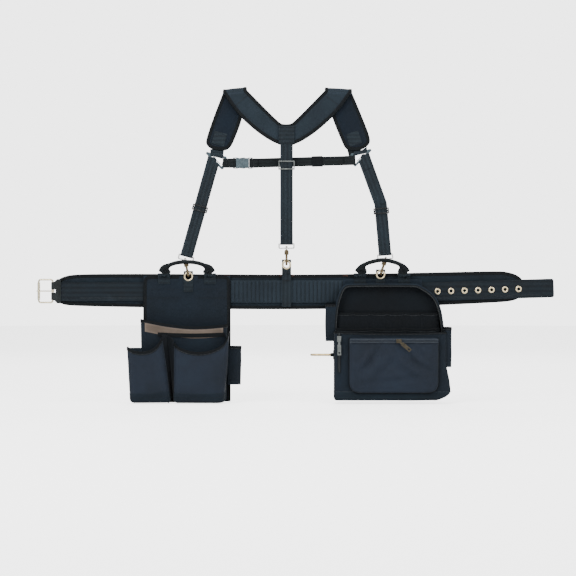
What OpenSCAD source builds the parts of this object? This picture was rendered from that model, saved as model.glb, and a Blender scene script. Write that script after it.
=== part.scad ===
// Carpenter's tool belt with two slide-on pouches and a padded shoulder harness.
// X is along the belt, Z is the wearer's up, -Y is away from the wearer.
// The origin is the middle of the belt, on the face of the lumbar pad that meets the wearer.

/* [Web belt] */
// height of the main belt webbing
web_height = 50.8; // [38:0.1:60]
// thickness of the main belt webbing
web_thick = 2.6; // [2:0.1:4]
// free end of the webbing, from the middle
web_end = 724; // [650:1:800]
// rise of the right wing of the belt
wing_rise = 1.7; // [0:0.1:4]
// spacing of the belt holes
hole_pitch = 36.6; // [25:0.1:40]
// number of belt holes
hole_count = 7; // [5:1:8]

/* [Buckle] */
// outer height of the buckle frame
buckle_height = 66.4; // [60:0.1:75]
// outer length of the buckle frame
buckle_length = 42.5; // [38:0.1:50]
// wire radius of the frame
buckle_wire = 2.25; // [2:0.05:3]

/* [Lumbar pad] */
// thickness of the padded belt
pad_thick = 12; // [8:0.5:14]
// half length of the ribbed sleeve between the pouches
sleeve_half = 158; // [150:1:165]
// spacing of the sleeve ribs
rib_pitch = 11.2; // [9:0.1:14]

/* [Harness] */
// width of the suspender webbing
strap_width = 34; // [30:1:38]
// thickness of the doubled suspender webbing
strap_thick = 3.4; // [2.4:0.1:4]
// width of the chest webbing
chest_width = 25; // [20:1:30]
// thickness of a padded shoulder layer
yoke_thick = 8; // [6:0.5:8]

/* [Snap hooks] */
// radius of the bend through the grommet
hook_bend = 6.5; // [6:0.1:7]
// grommet hole radius
grommet_hole = 7.5; // [7:0.1:8]
// outer radius of the hook grommets
grommet_rim = 12.8; // [12:0.1:14]
// opening height of the wire loop
loop_height = 12.5; // [11:0.1:14]

/* [Handles] */
// forward lean of the carrying handles at rest
handle_lean = 25; // [20:1:35]

/* [Pouches] */
// depth of the left pouch in front of its back panel
pouch_depth = 78; // [60:1:90]
// depth of the zipped bag body
bag_depth = 73; // [60:1:80]
// cloth wall thickness
cloth = 2.5; // [2:0.1:3]

/* [Hidden] */
$fn = 48;
web_z = 1;
web_back = 14.6;
web_front = web_back + web_thick;
bend_x = 385;
panel_back = 19.6;
panel_front = 21.6;
tab_front = 23.6;
hook_y = -21.9;
loop_wire = 1.8;
bar_x = -633;
bar_y = -15.9;
buckle_z = 2.7;
frame_w = buckle_length - 2 * buckle_wire;
frame_h = buckle_height - 2 * buckle_wire;
hinge_y = -26.6;
hinge_z = 46;

left_eye = [-265.4, 42.4];
right_eye = [254.3, 47];
back_eye = [0, 74];
left_tilt = -10.3;
right_tilt = 17;
bar_height = 44.6;

left_pin = [-198, 358.6];
right_pin = [209.5, 366.6];
ring_y = -7;

function below(eye, tilt) = [eye[0] + bar_height * sin(tilt), eye[1] + bar_height * cos(tilt)];
left_bar = below(left_eye, left_tilt);
right_bar = below(right_eye, right_tilt);
left_lean = 15.3;
right_lean = -4.7;
left_top = left_bar + loop_height * [sin(left_lean), cos(left_lean)];
right_top = right_bar + loop_height * [sin(right_lean), cos(right_lean)];
left_run = norm(left_pin - left_top);
left_angle = atan2(left_pin[0] - left_top[0], left_pin[1] - left_top[1]);
left_dip = atan2(ring_y - hook_y, left_run);
right_low = 137;
right_knee = right_top + right_low * [sin(right_lean), cos(right_lean)];
right_high = norm(right_pin - right_knee);
right_angle = atan2(right_pin[0] - right_knee[0], right_pin[1] - right_knee[1]);
right_dip = atan2(ring_y - hook_y, right_low + right_high);

// ---- helpers ----

// flat piece standing in the XZ plane between two depths in front of the wearer's face
module slab(back, front) translate([0, -back, 0]) rotate([90, 0, 0]) linear_extrude(front - back) children();

module rect(x0, x1, z0, z1) translate([x0, z0]) square([x1 - x0, z1 - z0]);

module bar_x(p, len, r) translate(p) rotate([0, 90, 0]) cylinder(h = len, r = r, center = true);
module bar_y(p, len, r) translate(p) rotate([90, 0, 0]) cylinder(h = len, r = r, center = true);
module bar_z(p, len, r) translate(p) cylinder(h = len, r = r, center = true);

// straight round rod between two points
module rod(a, b, r) translate(a)
  rotate([0, acos((b[2] - a[2]) / norm(b - a)), atan2(b[1] - a[1], b[0] - a[0])])
    cylinder(h = norm(b - a), r = r);

// outline moved outward by d, points counterclockwise
function unit(v) = v / norm(v);
function grow(p, d) = [for (i = [0 : len(p) - 1])
  let (a = p[(i + len(p) - 1) % len(p)], b = p[i], c = p[(i + 1) % len(p)],
       u = unit(b - a), v = unit(c - b), n = [u[1], -u[0]], m = [v[1], -v[0]])
  b + (n + m) * d / (1 + n * m)];

// closed wire rectangle with round corners, standing in the XZ plane
module wire_loop(w, h, rc, r) {
  for (s = [-1, 1]) {
    bar_x([0, 0, s * h / 2], w - 2 * rc, r);
    bar_z([s * w / 2, 0, 0], h - 2 * rc, r);
  }
  for (a = [0, 1], b = [0, 1]) mirror([a, 0, 0]) mirror([0, 0, b])
    translate([w / 2 - rc, 0, h / 2 - rc]) rotate([90, 0, 0])
      rotate_extrude(angle = 90) translate([rc, 0]) circle(r = r);
}

// outline running round a shape, cut below a height
module rim_2d(p, d, floor) difference() {
  polygon(grow(p, d));
  polygon(p);
  rect(-900, 900, -900, floor);
}

// ---- lumbar pad ----

pad_outline = [[-622, -22], [-611, -31], [-590, -35.5], [-500, -38], [-380, -40], [-200, -44.5],
  [0, -45.5], [200, -43.5], [380, -35.5], [570, -27], [612, -23], [632, -15], [641, 2], [641, 28],
  [634, 39], [618, 48], [596, 53.5], [575, 55.5], [333, 50.2], [150, 47], [0, 45.5], [-150, 46.5],
  [-380, 48], [-571, 47.2], [-604, 41], [-622, 31]];

module pad_cover() color("#20252d") difference() {
  slab(0, pad_thick) polygon(pad_outline);
  slab(1, pad_thick - 1) polygon(grow(pad_outline, -4));
}
module pad_foam() color("#55524c") slab(1, pad_thick - 1) polygon(grow(pad_outline, -4));
module pad_binding() color("#0c0e12") slab(0, pad_thick) difference() {
  polygon(grow(pad_outline, 2.5));
  polygon(pad_outline);
}

module rib_sleeve() color("#171b22") {
  slab(pad_thick, 17.4) {
    rect(-sleeve_half, sleeve_half, 28, 31);
    rect(-sleeve_half, sleeve_half, -29, -26);
  }
  slab(17.4, 18.5) rect(-sleeve_half, sleeve_half, -29, 31);
  for (i = [-14 : 14]) slab(18.5, 19.4) rect(i * rib_pitch - 3, i * rib_pitch + 3, -27, 29);
}

module centre_tab() color("#2b313b") difference() {
  union() {
    slab(19.4, panel_front) rect(-12.5, 12.5, -40, 88);
    slab(panel_front, tab_front) rect(-12.5, 12.5, 50, 88);
    slab(pad_thick, 19.4) rect(-12.5, 12.5, -40, -30);
  }
  bar_y([back_eye[0], -20, back_eye[1]], 20, 9);
}

// turned-over metal eyelet with a barrel through the cloth
module eyelet(eye, back, front, hole, rim, lip) translate([eye[0], 0, eye[1]]) difference() {
  union() {
    slab(back - lip, back) circle(r = rim);
    slab(back, front) circle(r = hole + 1.5);
    slab(front, front + lip) circle(r = rim);
  }
  slab(back - 5, front + 5) circle(r = hole);
}

module centre_grommet() color("#d8c793") eyelet(back_eye, 19.4, tab_front, grommet_hole, grommet_rim, 0.8);

// ---- web belt and buckle ----

// a point on the raised wing, u along it from the bend and v across it
function on_wing(u, v) = [bend_x + u * cos(wing_rise) - v * sin(wing_rise),
  web_z + u * sin(wing_rise) + v * cos(wing_rise)];
wing_len = web_end - bend_x;
half_web = web_height / 2;
function wing_corner(s) = [for (a = [0 : 4]) let (t = s > 0 ? a * 22.5 : -90 + a * 22.5)
  on_wing(wing_len - 6 + 6 * cos(t), s * (half_web - 6) + 6 * sin(t))];
module web_belt() color("#262c35") difference() {
  slab(web_back, web_front) polygon(concat(
    [[-612, web_z + half_web], [-612, web_z - half_web], [bend_x, web_z - half_web]],
    wing_corner(-1), wing_corner(1), [[bend_x, web_z + half_web]]));
  for (i = [0 : hole_count - 1]) wing() bar_y([24 + i * hole_pitch, -16, 0], 20, 5.5);
}
module wing() translate([bend_x, 0, web_z]) rotate([0, -wing_rise, 0]) children();

module belt_grommets() color("#d8c793")
  for (i = [0 : hole_count - 1])
    wing() eyelet([24 + i * hole_pitch, 0], web_back, web_front, 4, 8.5, 0.8);

module buckle_chape() color("#1b1f25") difference() {
  intersection() {
    union() {
      bar_z([bar_x, bar_y, buckle_z], 70, 4.6);
      translate([-630.3, -14.4, -33]) cube([19.3, 2, 70]);
      translate([-630.3, -19.4, -33]) cube([19.3, 2, 70]);
    }
    slab(0, 40) polygon([[-640, -21], [-629, -22], [-621, -30.5], [-611, -31], [-611, 35.5],
      [-621, 35], [-629, 27.4], [-640, 26.4]]);
  }
  bar_z([bar_x, bar_y, buckle_z], 90, buckle_wire + 0.1);
  translate([-641, -40, buckle_z - 4]) cube([16, 40, 8]);
}

module buckle_frame() color("#cfc7a8")
  translate([bar_x - frame_w / 2, bar_y, buckle_z]) wire_loop(frame_w, frame_h, 6, buckle_wire);

module buckle_roller() color("#ddd6bb") difference() {
  bar_z([bar_x - frame_w, bar_y, buckle_z], 46, 3.6);
  bar_z([bar_x - frame_w, bar_y, buckle_z], 60, buckle_wire + 0.1);
}

module buckle_prong() color("#c9c0a0") difference() {
  union() {
    bar_z([bar_x, bar_y, buckle_z], 6, 4);
    rod([bar_x - 2, bar_y - 2.4, buckle_z], [bar_x - 43, bar_y - 5.8, buckle_z], 1.6);
  }
  bar_z([bar_x, bar_y, buckle_z], 90, buckle_wire + 0.1);
}

// ---- padded yoke ----

yoke_y = -11.4;
yoke_out = 8.8;
yoke_in = yoke_out - yoke_thick - 0.1;
back_part = [[-19, 398], [19, 398], [71, 428], [120, 471], [146, 499], [177, 541], [105, 545],
  [20, 458], [8, 453], [-8, 453], [-20, 456], [-109, 546.5], [-172, 540], [-144, 499],
  [-120, 471], [-71, 428]];
left_front = [[-172, 540], [-200, 465], [-218, 410], [-216, 400], [-205.5, 390], [-188, 385.5],
  [-169, 385], [-158, 389], [-150, 398.5], [-140, 421], [-121, 471], [-109, 546.5]];
right_front = [[105, 545], [122, 481], [156, 398], [163, 389], [173, 385], [189, 384.5],
  [204, 387.5], [223, 400], [227, 416], [203, 477], [177, 541]];
left_fold = [[-172, 540], [-109, 546.5]];
right_fold = [[105, 545], [177, 541]];

// half round bend over the shoulder between the back part and a front pad
module fold(f) {
  run = norm(f[1] - f[0]);
  translate([f[0][0], yoke_y, f[0][1]]) rotate([0, -atan2(f[1][1] - f[0][1], f[1][0] - f[0][0]), 0])
    translate([1, 0, 0]) rotate([90, 0, 90]) linear_extrude(run - 2) difference() {
      union() {
        circle(r = yoke_out);
        rect(-yoke_out, yoke_out, -2.5, 0);
      }
      circle(r = yoke_in);
      rect(-yoke_in, yoke_in, -4, 0);
      rect(-20, 20, -20, -2.5);
    }
}
back_near = -yoke_y + yoke_in;
back_far = -yoke_y + yoke_out;
front_near = -yoke_y - yoke_out;
front_far = -yoke_y - yoke_in;

module yoke_cover() color("#262b33") difference() {
  union() {
    slab(back_near, back_far) polygon(back_part);
    slab(front_near, front_far) polygon(left_front);
    slab(front_near, front_far) polygon(right_front);
    fold(left_fold);
    fold(right_fold);
  }
  yoke_core();
}
module yoke_core() {
  slab(back_near + 1, back_far - 1) polygon(grow(back_part, -4));
  slab(front_near + 1, front_far - 1) polygon(grow(left_front, -4));
  slab(front_near + 1, front_far - 1) polygon(grow(right_front, -4));
}
module yoke_foam() color("#55524c") yoke_core();
module yoke_binding() color("#0b0d10") {
  slab(back_near, back_far) difference() {
    rim_2d(back_part, 2.2, 0);
    polygon([[-220, 527], [-90, 544], [-90, 580], [-220, 580]]);
    polygon([[90, 541.8], [220, 534.6], [220, 580], [90, 580]]);
  }
  slab(front_near, front_far) difference() {
    union() {
      rim_2d(left_front, 2.2, 0);
      rim_2d(right_front, 2.2, 0);
    }
    polygon([[-220, 527], [-90, 544], [-90, 580], [-220, 580]]);
    polygon([[90, 541.8], [220, 534.6], [220, 580], [90, 580]]);
  }
}

// ---- sewn webbing on the yoke ----

ring_a = [-217.4, 378];
ring_b = [-164.7, 365];
ring_c = [-174.2, 334.8];
ring_pts = [ring_a, ring_c, ring_b];

// strip beside a ring bar, on the hole side, from s0 to s1 along it
module beside(a, b, s0, s1, d0, d1) translate(a) rotate(atan2(b[1] - a[1], b[0] - a[0]))
  translate([s0, d0]) square([s1 - s0, d1 - d0]);

module right_side() translate([11.5, 0, 8]) mirror([1, 0, 0]) children();

// outline moved outward by d with its corners cut off
function bevel(p, d) = [for (i = [0 : len(p) - 1], k = [0, 1])
  let (a = p[(i + len(p) - 1) % len(p)], b = p[i], c = p[(i + 1) % len(p)],
       u = unit(b - a), v = unit(c - b), w = k == 0 ? u : v)
  b + d * [w[1], -w[0]]];
module ring_2d() difference() {
  polygon(bevel(ring_pts, 3));
  polygon(grow(ring_pts, -3));
}
module shoulder_rings() color("#5d6b73") {
  slab(5, 9) ring_2d();
  right_side() slab(5, 9) ring_2d();
}

module ring_tab() {
  for (d = [3.2, 9.1]) slab(d, d + 1.7) difference() {
    polygon([[-206.5, 373], [-205, 369.5], [-173.5, 362], [-171, 364], [-171, 392], [-207, 398]]);
    polygon(grow(left_front, 2.2));
  }
  slab(4.9, 9.1) beside(ring_a, ring_b, 15, 42, -4.7, -3);
}
module right_ring_tab() {
  for (d = [3.2, 9.1]) slab(d, d + 1.7) difference() {
    translate([11.5, 8]) mirror([1, 0]) polygon([[-206.5, 373], [-205, 369.5], [-173.5, 362],
      [-171, 364], [-171, 392], [-207, 398]]);
    polygon(grow(right_front, 2.2));
  }
  right_side() slab(4.9, 9.1) beside(ring_a, ring_b, 15, 42, -4.7, -3);
}
module patch(x, z, turn) translate([x, 0, z]) rotate([0, turn, 0])
  slab(front_far, front_far + 1.4) rect(-17.5, 17.5, -17.5, 17.5);

module yoke_webs() color("#2b313b") {
  ring_tab();
  right_ring_tab();
  patch(-182, 416, 15);
  patch(183, 416, -18);
  slab(back_far + strap_thick, back_far + strap_thick + 1.6) rect(-21, 21, 402, 450);
}

// ---- back strap ----

back_bar = back_eye[1] + bar_height + loop_height;

// doubled webbing hung from a wire loop: local z runs up the strap, local y is its thickness
module strap_run(len) difference() {
  union() {
    bar_x([0, 0, 0], strap_width, 3.6);
    translate([-strap_width / 2, -strap_thick / 2, 2]) cube([strap_width, strap_thick, len - 2]);
  }
  bar_x([0, 0, 0], strap_width + 9, loop_wire + 0.1);
}

module back_strap() color("#2b313b") translate([0, hook_y, back_bar]) strap_run(450 - back_bar);

// three-bar slide with the webbing woven through it
module slide(w, h) {
  for (s = [-1, 1]) translate([s * (w / 2 - 1.5) - 1.5, -4.6, -h / 2]) cube([3, 9.2, h]);
  for (s = [-1, 1]) translate([-w / 2, -4.6, s * (h / 2 - 1.6) - 1.6]) cube([w, 2.4, 3.2]);
  translate([-w / 2, 2.2, -1.6]) cube([w, 2.4, 3.2]);
}
module back_slide() color("#c9ccd0") translate([0, hook_y, 343]) slide(44, 24);

// ---- snap hooks ----

module oval() {
  square([3.8, 2.6], center = true);
  for (s = [-1, 1]) translate([0, s * 1.3]) circle(r = 1.9);
}

// stands in its grommet: z = 0 is where the bend sits, the swivel axis is x = y = 0
module snap_hook() difference() {
  union() {
    translate([0, 0, hook_bend]) rotate([0, 90, 0]) rotate([0, 0, -90])
      rotate_extrude(angle = 180) translate([hook_bend, 0]) oval();
    translate([0, -hook_bend, hook_bend]) linear_extrude(24) rotate(90) oval();
    translate([0, hook_bend, hook_bend]) linear_extrude(12) rotate(90) oval();
    translate([-6, -8.4, 27]) cube([12, 17, 10]);
    translate([0, 0, 36]) cylinder(h = 4, r = 4.6);
    translate([0, 0, 39.5]) cylinder(h = 9.4, r = 1.9);
    translate([0, 0, 48.6]) cylinder(h = 1.8, r = 3.2);
  }
  translate([-2.7, 3, 26]) cube([5.4, 9, 9.6]);
}
module hook_pin() bar_x([0, 6.2, 31.5], 11, 1);
module hook_all() {
  snap_hook();
  hook_pin();
}
module gate() difference() {
  union() {
    bar_x([0, 6.2, 31.5], 5, 2.2);
    translate([-2.2, 5.2, 18.9]) cube([4.4, 2.6, 12]);
  }
  bar_x([0, 6.2, 31.5], 9, 1.05);
}
module at_eye(eye, tilt) translate([eye[0], hook_y, eye[1]]) rotate([0, tilt, 0]) children();

// wire loop with the boss the hook turns in
module hook_loop(eye, tilt, lean) {
  b = below(eye, tilt);
  difference() {
    union() {
      translate([b[0], hook_y, b[1]]) rotate([0, lean, 0]) translate([0, 0, loop_height / 2])
        wire_loop(strap_width + 6, loop_height, 2.6, loop_wire);
      translate([b[0], hook_y, b[1]]) rotate([0, tilt, 0]) cylinder(h = 4, r = 4.4, center = true);
    }
    translate([b[0], hook_y, b[1]]) rotate([0, tilt, 0]) cylinder(h = 14, r = 1.95, center = true);
  }
}

module back_hook_loop() color("#d9dbdd") hook_loop(back_eye, 0, 0);
module back_hook() color("#8d7c5c") at_eye(back_eye, 0) hook_all();
module back_gate() color("#a8966f") at_eye(back_eye, 0) gate();
module left_hook_loop() color("#d9dbdd") hook_loop(left_eye, left_tilt, left_lean);
module left_hook() color("#8d7c5c") at_eye(left_eye, left_tilt) hook_all();
module left_gate() color("#a8966f") at_eye(left_eye, left_tilt) gate();
module right_hook_loop() color("#d9dbdd") hook_loop(right_eye, right_tilt, right_lean);
module right_hook() color("#8d7c5c") at_eye(right_eye, right_tilt) hook_all();
module right_gate() color("#a8966f") at_eye(right_eye, right_tilt) gate();

// ---- front straps ----

// forked end that passes both sides of a ring bar
module strap_end() {
  for (d = [3.1, 9.2]) slab(d, d + 1.7) {
    polygon([[-17, -30], [17, -30], [17, -9], [8, -4], [-8, 4], [-17, 7]]);
    circle(r = 8);
  }
  slab(3.1, 10.9) rect(-17, 17, -36, -29);
}
module left_strap() color("#2b313b") {
  translate([left_top[0], hook_y, left_top[1]]) rotate([0, left_angle, 0]) rotate([-left_dip, 0, 0])
    strap_run(left_run - 30);
  translate([left_pin[0], 0, left_pin[1]]) rotate([0, left_angle, 0]) strap_end();
  slab(4.5, 9.5) beside(ring_a, ring_c, 20.5, 48, 4.1, 5.8);
}
module left_adjuster() color("#16181c")
  translate([left_top[0], hook_y, left_top[1]]) rotate([0, left_angle, 0]) rotate([-left_dip, 0, 0])
    translate([0, 0, 133]) slide(42, 16);

module right_low_frame() translate([right_top[0], hook_y, right_top[1]])
  rotate([0, right_lean, 0]) rotate([-right_dip, 0, 0]) children();
module right_strap() color("#2b313b") {
  right_low_frame() {
    strap_run(right_low);
    bar_y([0, 0, right_low], strap_thick, strap_width / 2);
  }
  translate([right_knee[0], hook_y + right_low * tan(right_dip), right_knee[1]])
    rotate([0, right_angle, 0]) rotate([-right_dip, 0, 0])
      translate([-strap_width / 2, -strap_thick / 2, 0]) cube([strap_width, strap_thick, right_high - 30]);
  translate([right_pin[0], 0, right_pin[1]]) rotate([0, right_angle, 0]) mirror([1, 0, 0]) strap_end();
  right_side() slab(4.5, 9.5) beside(ring_a, ring_c, 20.5, 48, 4.1, 5.8);
}
module right_adjuster() color("#16181c") right_low_frame() translate([0, 0, 118]) slide(42, 16);

// ---- chest strap ----

chest_z = 350;
socket_bar = -143;
plug_bar = -94;
chest_rise = 1.55;

module chest_fold(x) difference() {
  bar_z([x, ring_y, chest_z], chest_width, 3.7);
  bar_z([x, ring_y, chest_z], chest_width + 9, 1.9);
}
module chest_web_left() color("#2b313b") {
  chest_fold(socket_bar);
  for (d = [3.3, 9]) slab(d, d + 1.7) rect(-173, socket_bar - 2.2, chest_z - 12.5, chest_z + 12.5);
  slab(4.5, 9.5) beside(ring_c, ring_b, 9, 24, 3, 4.7);
}
module chest_web_right() color("#2b313b") {
  chest_fold(plug_bar);
  slab(9, 10.7) rect(plug_bar + 2.2, -79, chest_z - 12.5, chest_z + 12.5);
  slab(3.3, 5) rect(plug_bar + 2.2, -78, chest_z - 12.5, chest_z + 12.5);
  translate([plug_bar, 0, chest_z]) rotate([0, -chest_rise, 0]) {
    slab(3.3, 5) rect(10, 281, -12.5, 12.5);
    slab(9, 10.7) rect(252, 281, -12.5, 12.5);
  }
  right_side() slab(4.5, 9.5) beside(ring_c, ring_b, 9, 24, 3, 4.7);
}
module chest_keeper() color("#121418") translate([plug_bar, 0, chest_z]) rotate([0, -chest_rise, 0])
  difference() {
    slab(1.6, 6.7) rect(163, 192, -14.4, 14.4);
    slab(2.9, 5.4) rect(160, 195, -12.9, 12.9);
  }

module chest_socket() color("#4e5a61") {
  difference() {
    slab(1.5, 12.5) rect(-137, -113, chest_z - 15, chest_z + 15);
    slab(3.5, 10.5) rect(-134.5, -100, chest_z - 12, chest_z + 12);
    slab(3.5, 10.5) rect(-132, -119, chest_z - 20, chest_z + 20);
  }
  for (s = [-1, 1]) slab(4.5, 9.5) translate([0, chest_z + s * 14.2]) rect(-145, -137, -0.8, 0.8);
  bar_z([socket_bar, ring_y, chest_z], 28.4, 1.8);
}
module chest_plug() color("#4e5a61") {
  difference() {
    slab(2.5, 11.5) rect(-112.6, -102, chest_z - 13.5, chest_z + 13.5);
    for (s = [-1, 1]) slab(4.4, 9.6) translate([0, chest_z + s * 8.5]) rect(-114, -105.6, -3.6, 3.6);
  }
  for (s = [-1, 1]) bar_y([-109, -7, chest_z + s * 8.5], 8, 1.2);
  slab(4.3, 9.7) rect(-131, -112, chest_z - 1.8, chest_z + 1.8);
  for (s = [-1, 1]) slab(4.5, 9.5) translate([0, chest_z + s * 14.2]) rect(-104, -92, -0.8, 0.8);
  for (s = [-1, 1]) slab(4.5, 9.5) translate([0, chest_z + s * 14]) rect(-104, -101.8, -1.2, 0.8);
  bar_z([plug_bar, ring_y, chest_z], 28.4, 1.8);
}
module latch_arm() difference() {
  union() {
    bar_y([-109, -7, 8.5], 4.6, 2.6);
    slab(4.7, 9.3) rect(-129.5, -109, 7.2, 9.8);
    slab(4.7, 9.3) polygon([[-129.5, 7.2], [-121.5, 9.5], [-121.5, 14.8], [-127, 14.2], [-130, 11.5]]);
  }
  bar_y([-109, -7, 8.5], 12, 1.25);
}
module chest_latch_upper() color("#4e5a61") translate([0, 0, chest_z]) latch_arm();
module chest_latch_lower() color("#4e5a61") translate([0, 0, chest_z]) mirror([0, 0, 1]) latch_arm();

// ---- pouch back panels ----

// the belt runs through a tunnel behind each panel
module tunnel(x0, x1) {
  slab(12.4, 14) rect(x0, x1, -31, 33);
  slab(14, panel_back) rect(x0, x1, 28.5, 33);
  slab(14, panel_back) rect(x0, x1, -31, -26.5);
}
module left_back_panel() color("#20252c") {
  difference() {
    slab(panel_back, panel_front) rect(-386.6, -152.6, -296, 44.3);
    bar_y([left_eye[0], -20, left_eye[1]], 20, 9);
  }
  difference() {
    tunnel(-369, -175.5);
    bar_y([left_eye[0], -24.6, left_eye[1]], 12, grommet_rim + 0.6);
  }
}
module right_back_panel() color("#20252c") {
  slab(panel_back, panel_front) rect(152.6, 366, -289, 33.5);
  tunnel(175.5, 350);
}

// webbing foot with the loop a handle turns in
module foot(x) {
  slab(panel_front, 23.4) difference() {
    rect(x - 16, x + 16, 22, 44);
    rect(x - 6.9, x + 6.9, 40, 50);
  }
  for (s = [-1, 1]) difference() {
    union() {
      bar_x([x + s * 11.5, hinge_y, hinge_z], 9, 5);
      translate([x + s * 11.5 - 4.5, -23.4, 40]) cube([9, 1.8, 6]);
    }
    bar_x([x, hinge_y, hinge_z], 60, 3.1);
  }
}
module left_panel_webs() color("#262c35") {
  difference() {
    slab(panel_front, tab_front) rect(-278, -253, 0, 57);
    bar_y([left_eye[0], -20, left_eye[1]], 20, 9);
  }
  foot(-331);
  foot(-207);
}
module right_panel_webs() color("#262c35") {
  difference() {
    union() {
      slab(panel_front, tab_front) rect(241.8, 266.8, 22, 61);
      slab(panel_back, panel_front) rect(241.8, 266.8, 33.5, 61);
    }
    bar_y([right_eye[0], -20, right_eye[1]], 20, 9);
  }
  foot(198.5);
  foot(318.5);
  difference() {
    union() {
      bar_y([121, -58, -168], 18, 4.6);
      translate([121, -67, -172.6]) cube([6, 18, 2.2]);
      translate([121, -67, -165.6]) cube([6, 18, 2.2]);
      translate([124.8, -67, -180]) cube([2.2, 18, 24]);
    }
    bar_y([121, -58, -168], 60, 2.35);
  }
}
module left_grommet() color("#d8c793") eyelet(left_eye, panel_back, tab_front, grommet_hole, grommet_rim, 0.8);
module right_grommet() color("#d8c793") eyelet(right_eye, panel_back, tab_front, grommet_hole, grommet_rim, 0.8);

// ---- carrying handles ----

module grip(outer, inner, span) translate([0, hinge_y, hinge_z]) {
  rotate([handle_lean, 0, 0]) difference() {
    translate([0, 4.5, 0]) slab(0, 9) difference() {
      polygon(outer);
      polygon(inner);
    }
    translate([-100, -20, -40]) cube([200, 40, 40]);
  }
  for (s = [-1, 1]) {
    bar_x([s * span, 0, 0], 34, 3);
    bar_x([s * span, 0, 0], 12.6, 4.8);
  }
}
module left_handle() color("#191d23") translate([-269, 0, 0])
  grip([[-68, -5], [68, -5], [64, 27], [27, 43.5], [-27, 43.5], [-64, 27]],
       [[-56.4, -9], [56.4, -9], [56.4, 8], [53, 20], [23, 34], [-23, 34], [-53, 20], [-56.4, 8]], 62);
module right_handle() color("#191d23") translate([258.5, 0, 0])
  grip([[-66, -5], [66, -5], [58, 35], [12, 49], [-12, 49], [-58, 35]],
       [[-54.4, -9], [54.4, -9], [54.4, 8], [48, 28], [10, 40], [-10, 40], [-48, 28], [-54.4, 8]], 60);

// ---- left pouch ----

module left_mid_pocket() color("#1c2027") difference() {
  slab(panel_front, 60) polygon([[-392, -296], [-160, -296], [-160, -89], [-210, -93], [-260, -94],
    [-325, -86], [-392, -73]]);
  slab(panel_front, 60 - cloth) rect(-392 + cloth, -160 - cloth, -293.5, 60);
}
module pocket(p, c, front) difference() {
  slab(60, front) polygon(p);
  slab(61.5, front - cloth) polygon(c);
}
module left_front_pockets() color("#272d37") {
  front = panel_front + pouch_depth;
  pocket([[-416, -294], [-304, -296], [-304, -104], [-325, -130], [-350, -148], [-382, -161],
      [-405, -158], [-425, -148]],
    [[-413.5, -291.5], [-306.5, -293.5], [-306.5, -40], [-422.5, -40], [-422.5, -148]], front);
  pocket([[-300, -296], [-168, -294], [-158, -200], [-154, -113], [-174, -146], [-212, -159],
      [-260, -159], [-285, -150], [-300, -134]],
    [[-297.5, -293.5], [-170.5, -291.5], [-160.5, -200], [-156.5, -40], [-297.5, -40]], front);
}
module left_bar_sleeve() color("#1c2027") difference() {
  slab(36, 59) rect(-160, -123, -248, -146);
  slab(37.6, 57.4) rect(-158.4, -124.6, -300, -100);
}

// ---- right zipped bag ----

arch = [[127, -286], [402, -286], [424, -270], [424, -107], [420, -76], [416, -50], [406, -22],
  [390, -2], [358, 18], [345, 21.5], [170, 21.5], [158, 19], [147, 8], [136, -22], [129, -60], [127, -107]];
lower = [[127, -289], [402, -289], [440, -266], [436, -230], [428, -200], [428, -107], [127, -107]];
bag_front = panel_front + bag_depth;

module bag_shell() color("#20252d") difference() {
  union() {
    slab(panel_front, 44) polygon(arch);
    slab(panel_front, bag_front) polygon(lower);
  }
  slab(panel_front + 2, 44) polygon(grow(arch, -cloth));
  slab(panel_front + 2, 60) rect(129.5, 421.5, -200, -107);
  slab(panel_front + 2, bag_front - cloth) union() {
    polygon(grow(lower, -cloth));
    rect(129.5, 425.5, -120, -100);
  }
}
module bag_tool_pockets() color("#171b21") {
  slab(32, 33.6) rect(134, 412, -200, -55);
  slab(panel_front + 2, 32) rect(134, 412, -200, -198);
  for (x = [134, 180, 226, 272, 318, 364, 410]) slab(panel_front + 2, 32) rect(x, x + 1.6, -198, -56);
  slab(52, 53.6) rect(130, 424, -262, -98);
  for (x = [140, 230, 320, 410]) slab(33.6, 52) rect(x, x + 1.6, -260, -100);
}
module pocket_face(d) {
  rect(165 + d, 406 - d, -244, -121 - d);
  rect(190, 381, -270 + d, -121 - d);
  for (x = [191, 380]) translate([x, -244]) circle(r = 26 - d);
}
module bag_front_pocket() color("#29303a") difference() {
  slab(bag_front, bag_front + 12) pocket_face(0);
  slab(bag_front + 1.5, bag_front + 10.5) pocket_face(cloth);
  slab(bag_front + 5, bag_front + 20) rect(172, 400, -132.2, -127.2);
}
module bag_side_pockets() color("#1b1f26") {
  difference() {
    slab(24, 46) rect(105, 127, -130, -35);
    slab(25.6, 44.4) rect(106.6, 125.4, -200, 0);
  }
  difference() {
    slab(30, 85) rect(428, 441, -198, -95);
    slab(31.6, 83.4) rect(429.6, 439.4, -196, 0);
  }
}
module zip_tapes() color("#8b8f93") {
  slab(44, 45.8) difference() {
    polygon(arch);
    polygon(grow(arch, -5));
    rect(0, 500, -400, -107);
  }
  slab(bag_front, bag_front + 1.8) rect(136, 144, -215, -109);
  slab(bag_front + 12, bag_front + 13.6) rect(168, 403, -133.6, -125.8);
}

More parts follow.
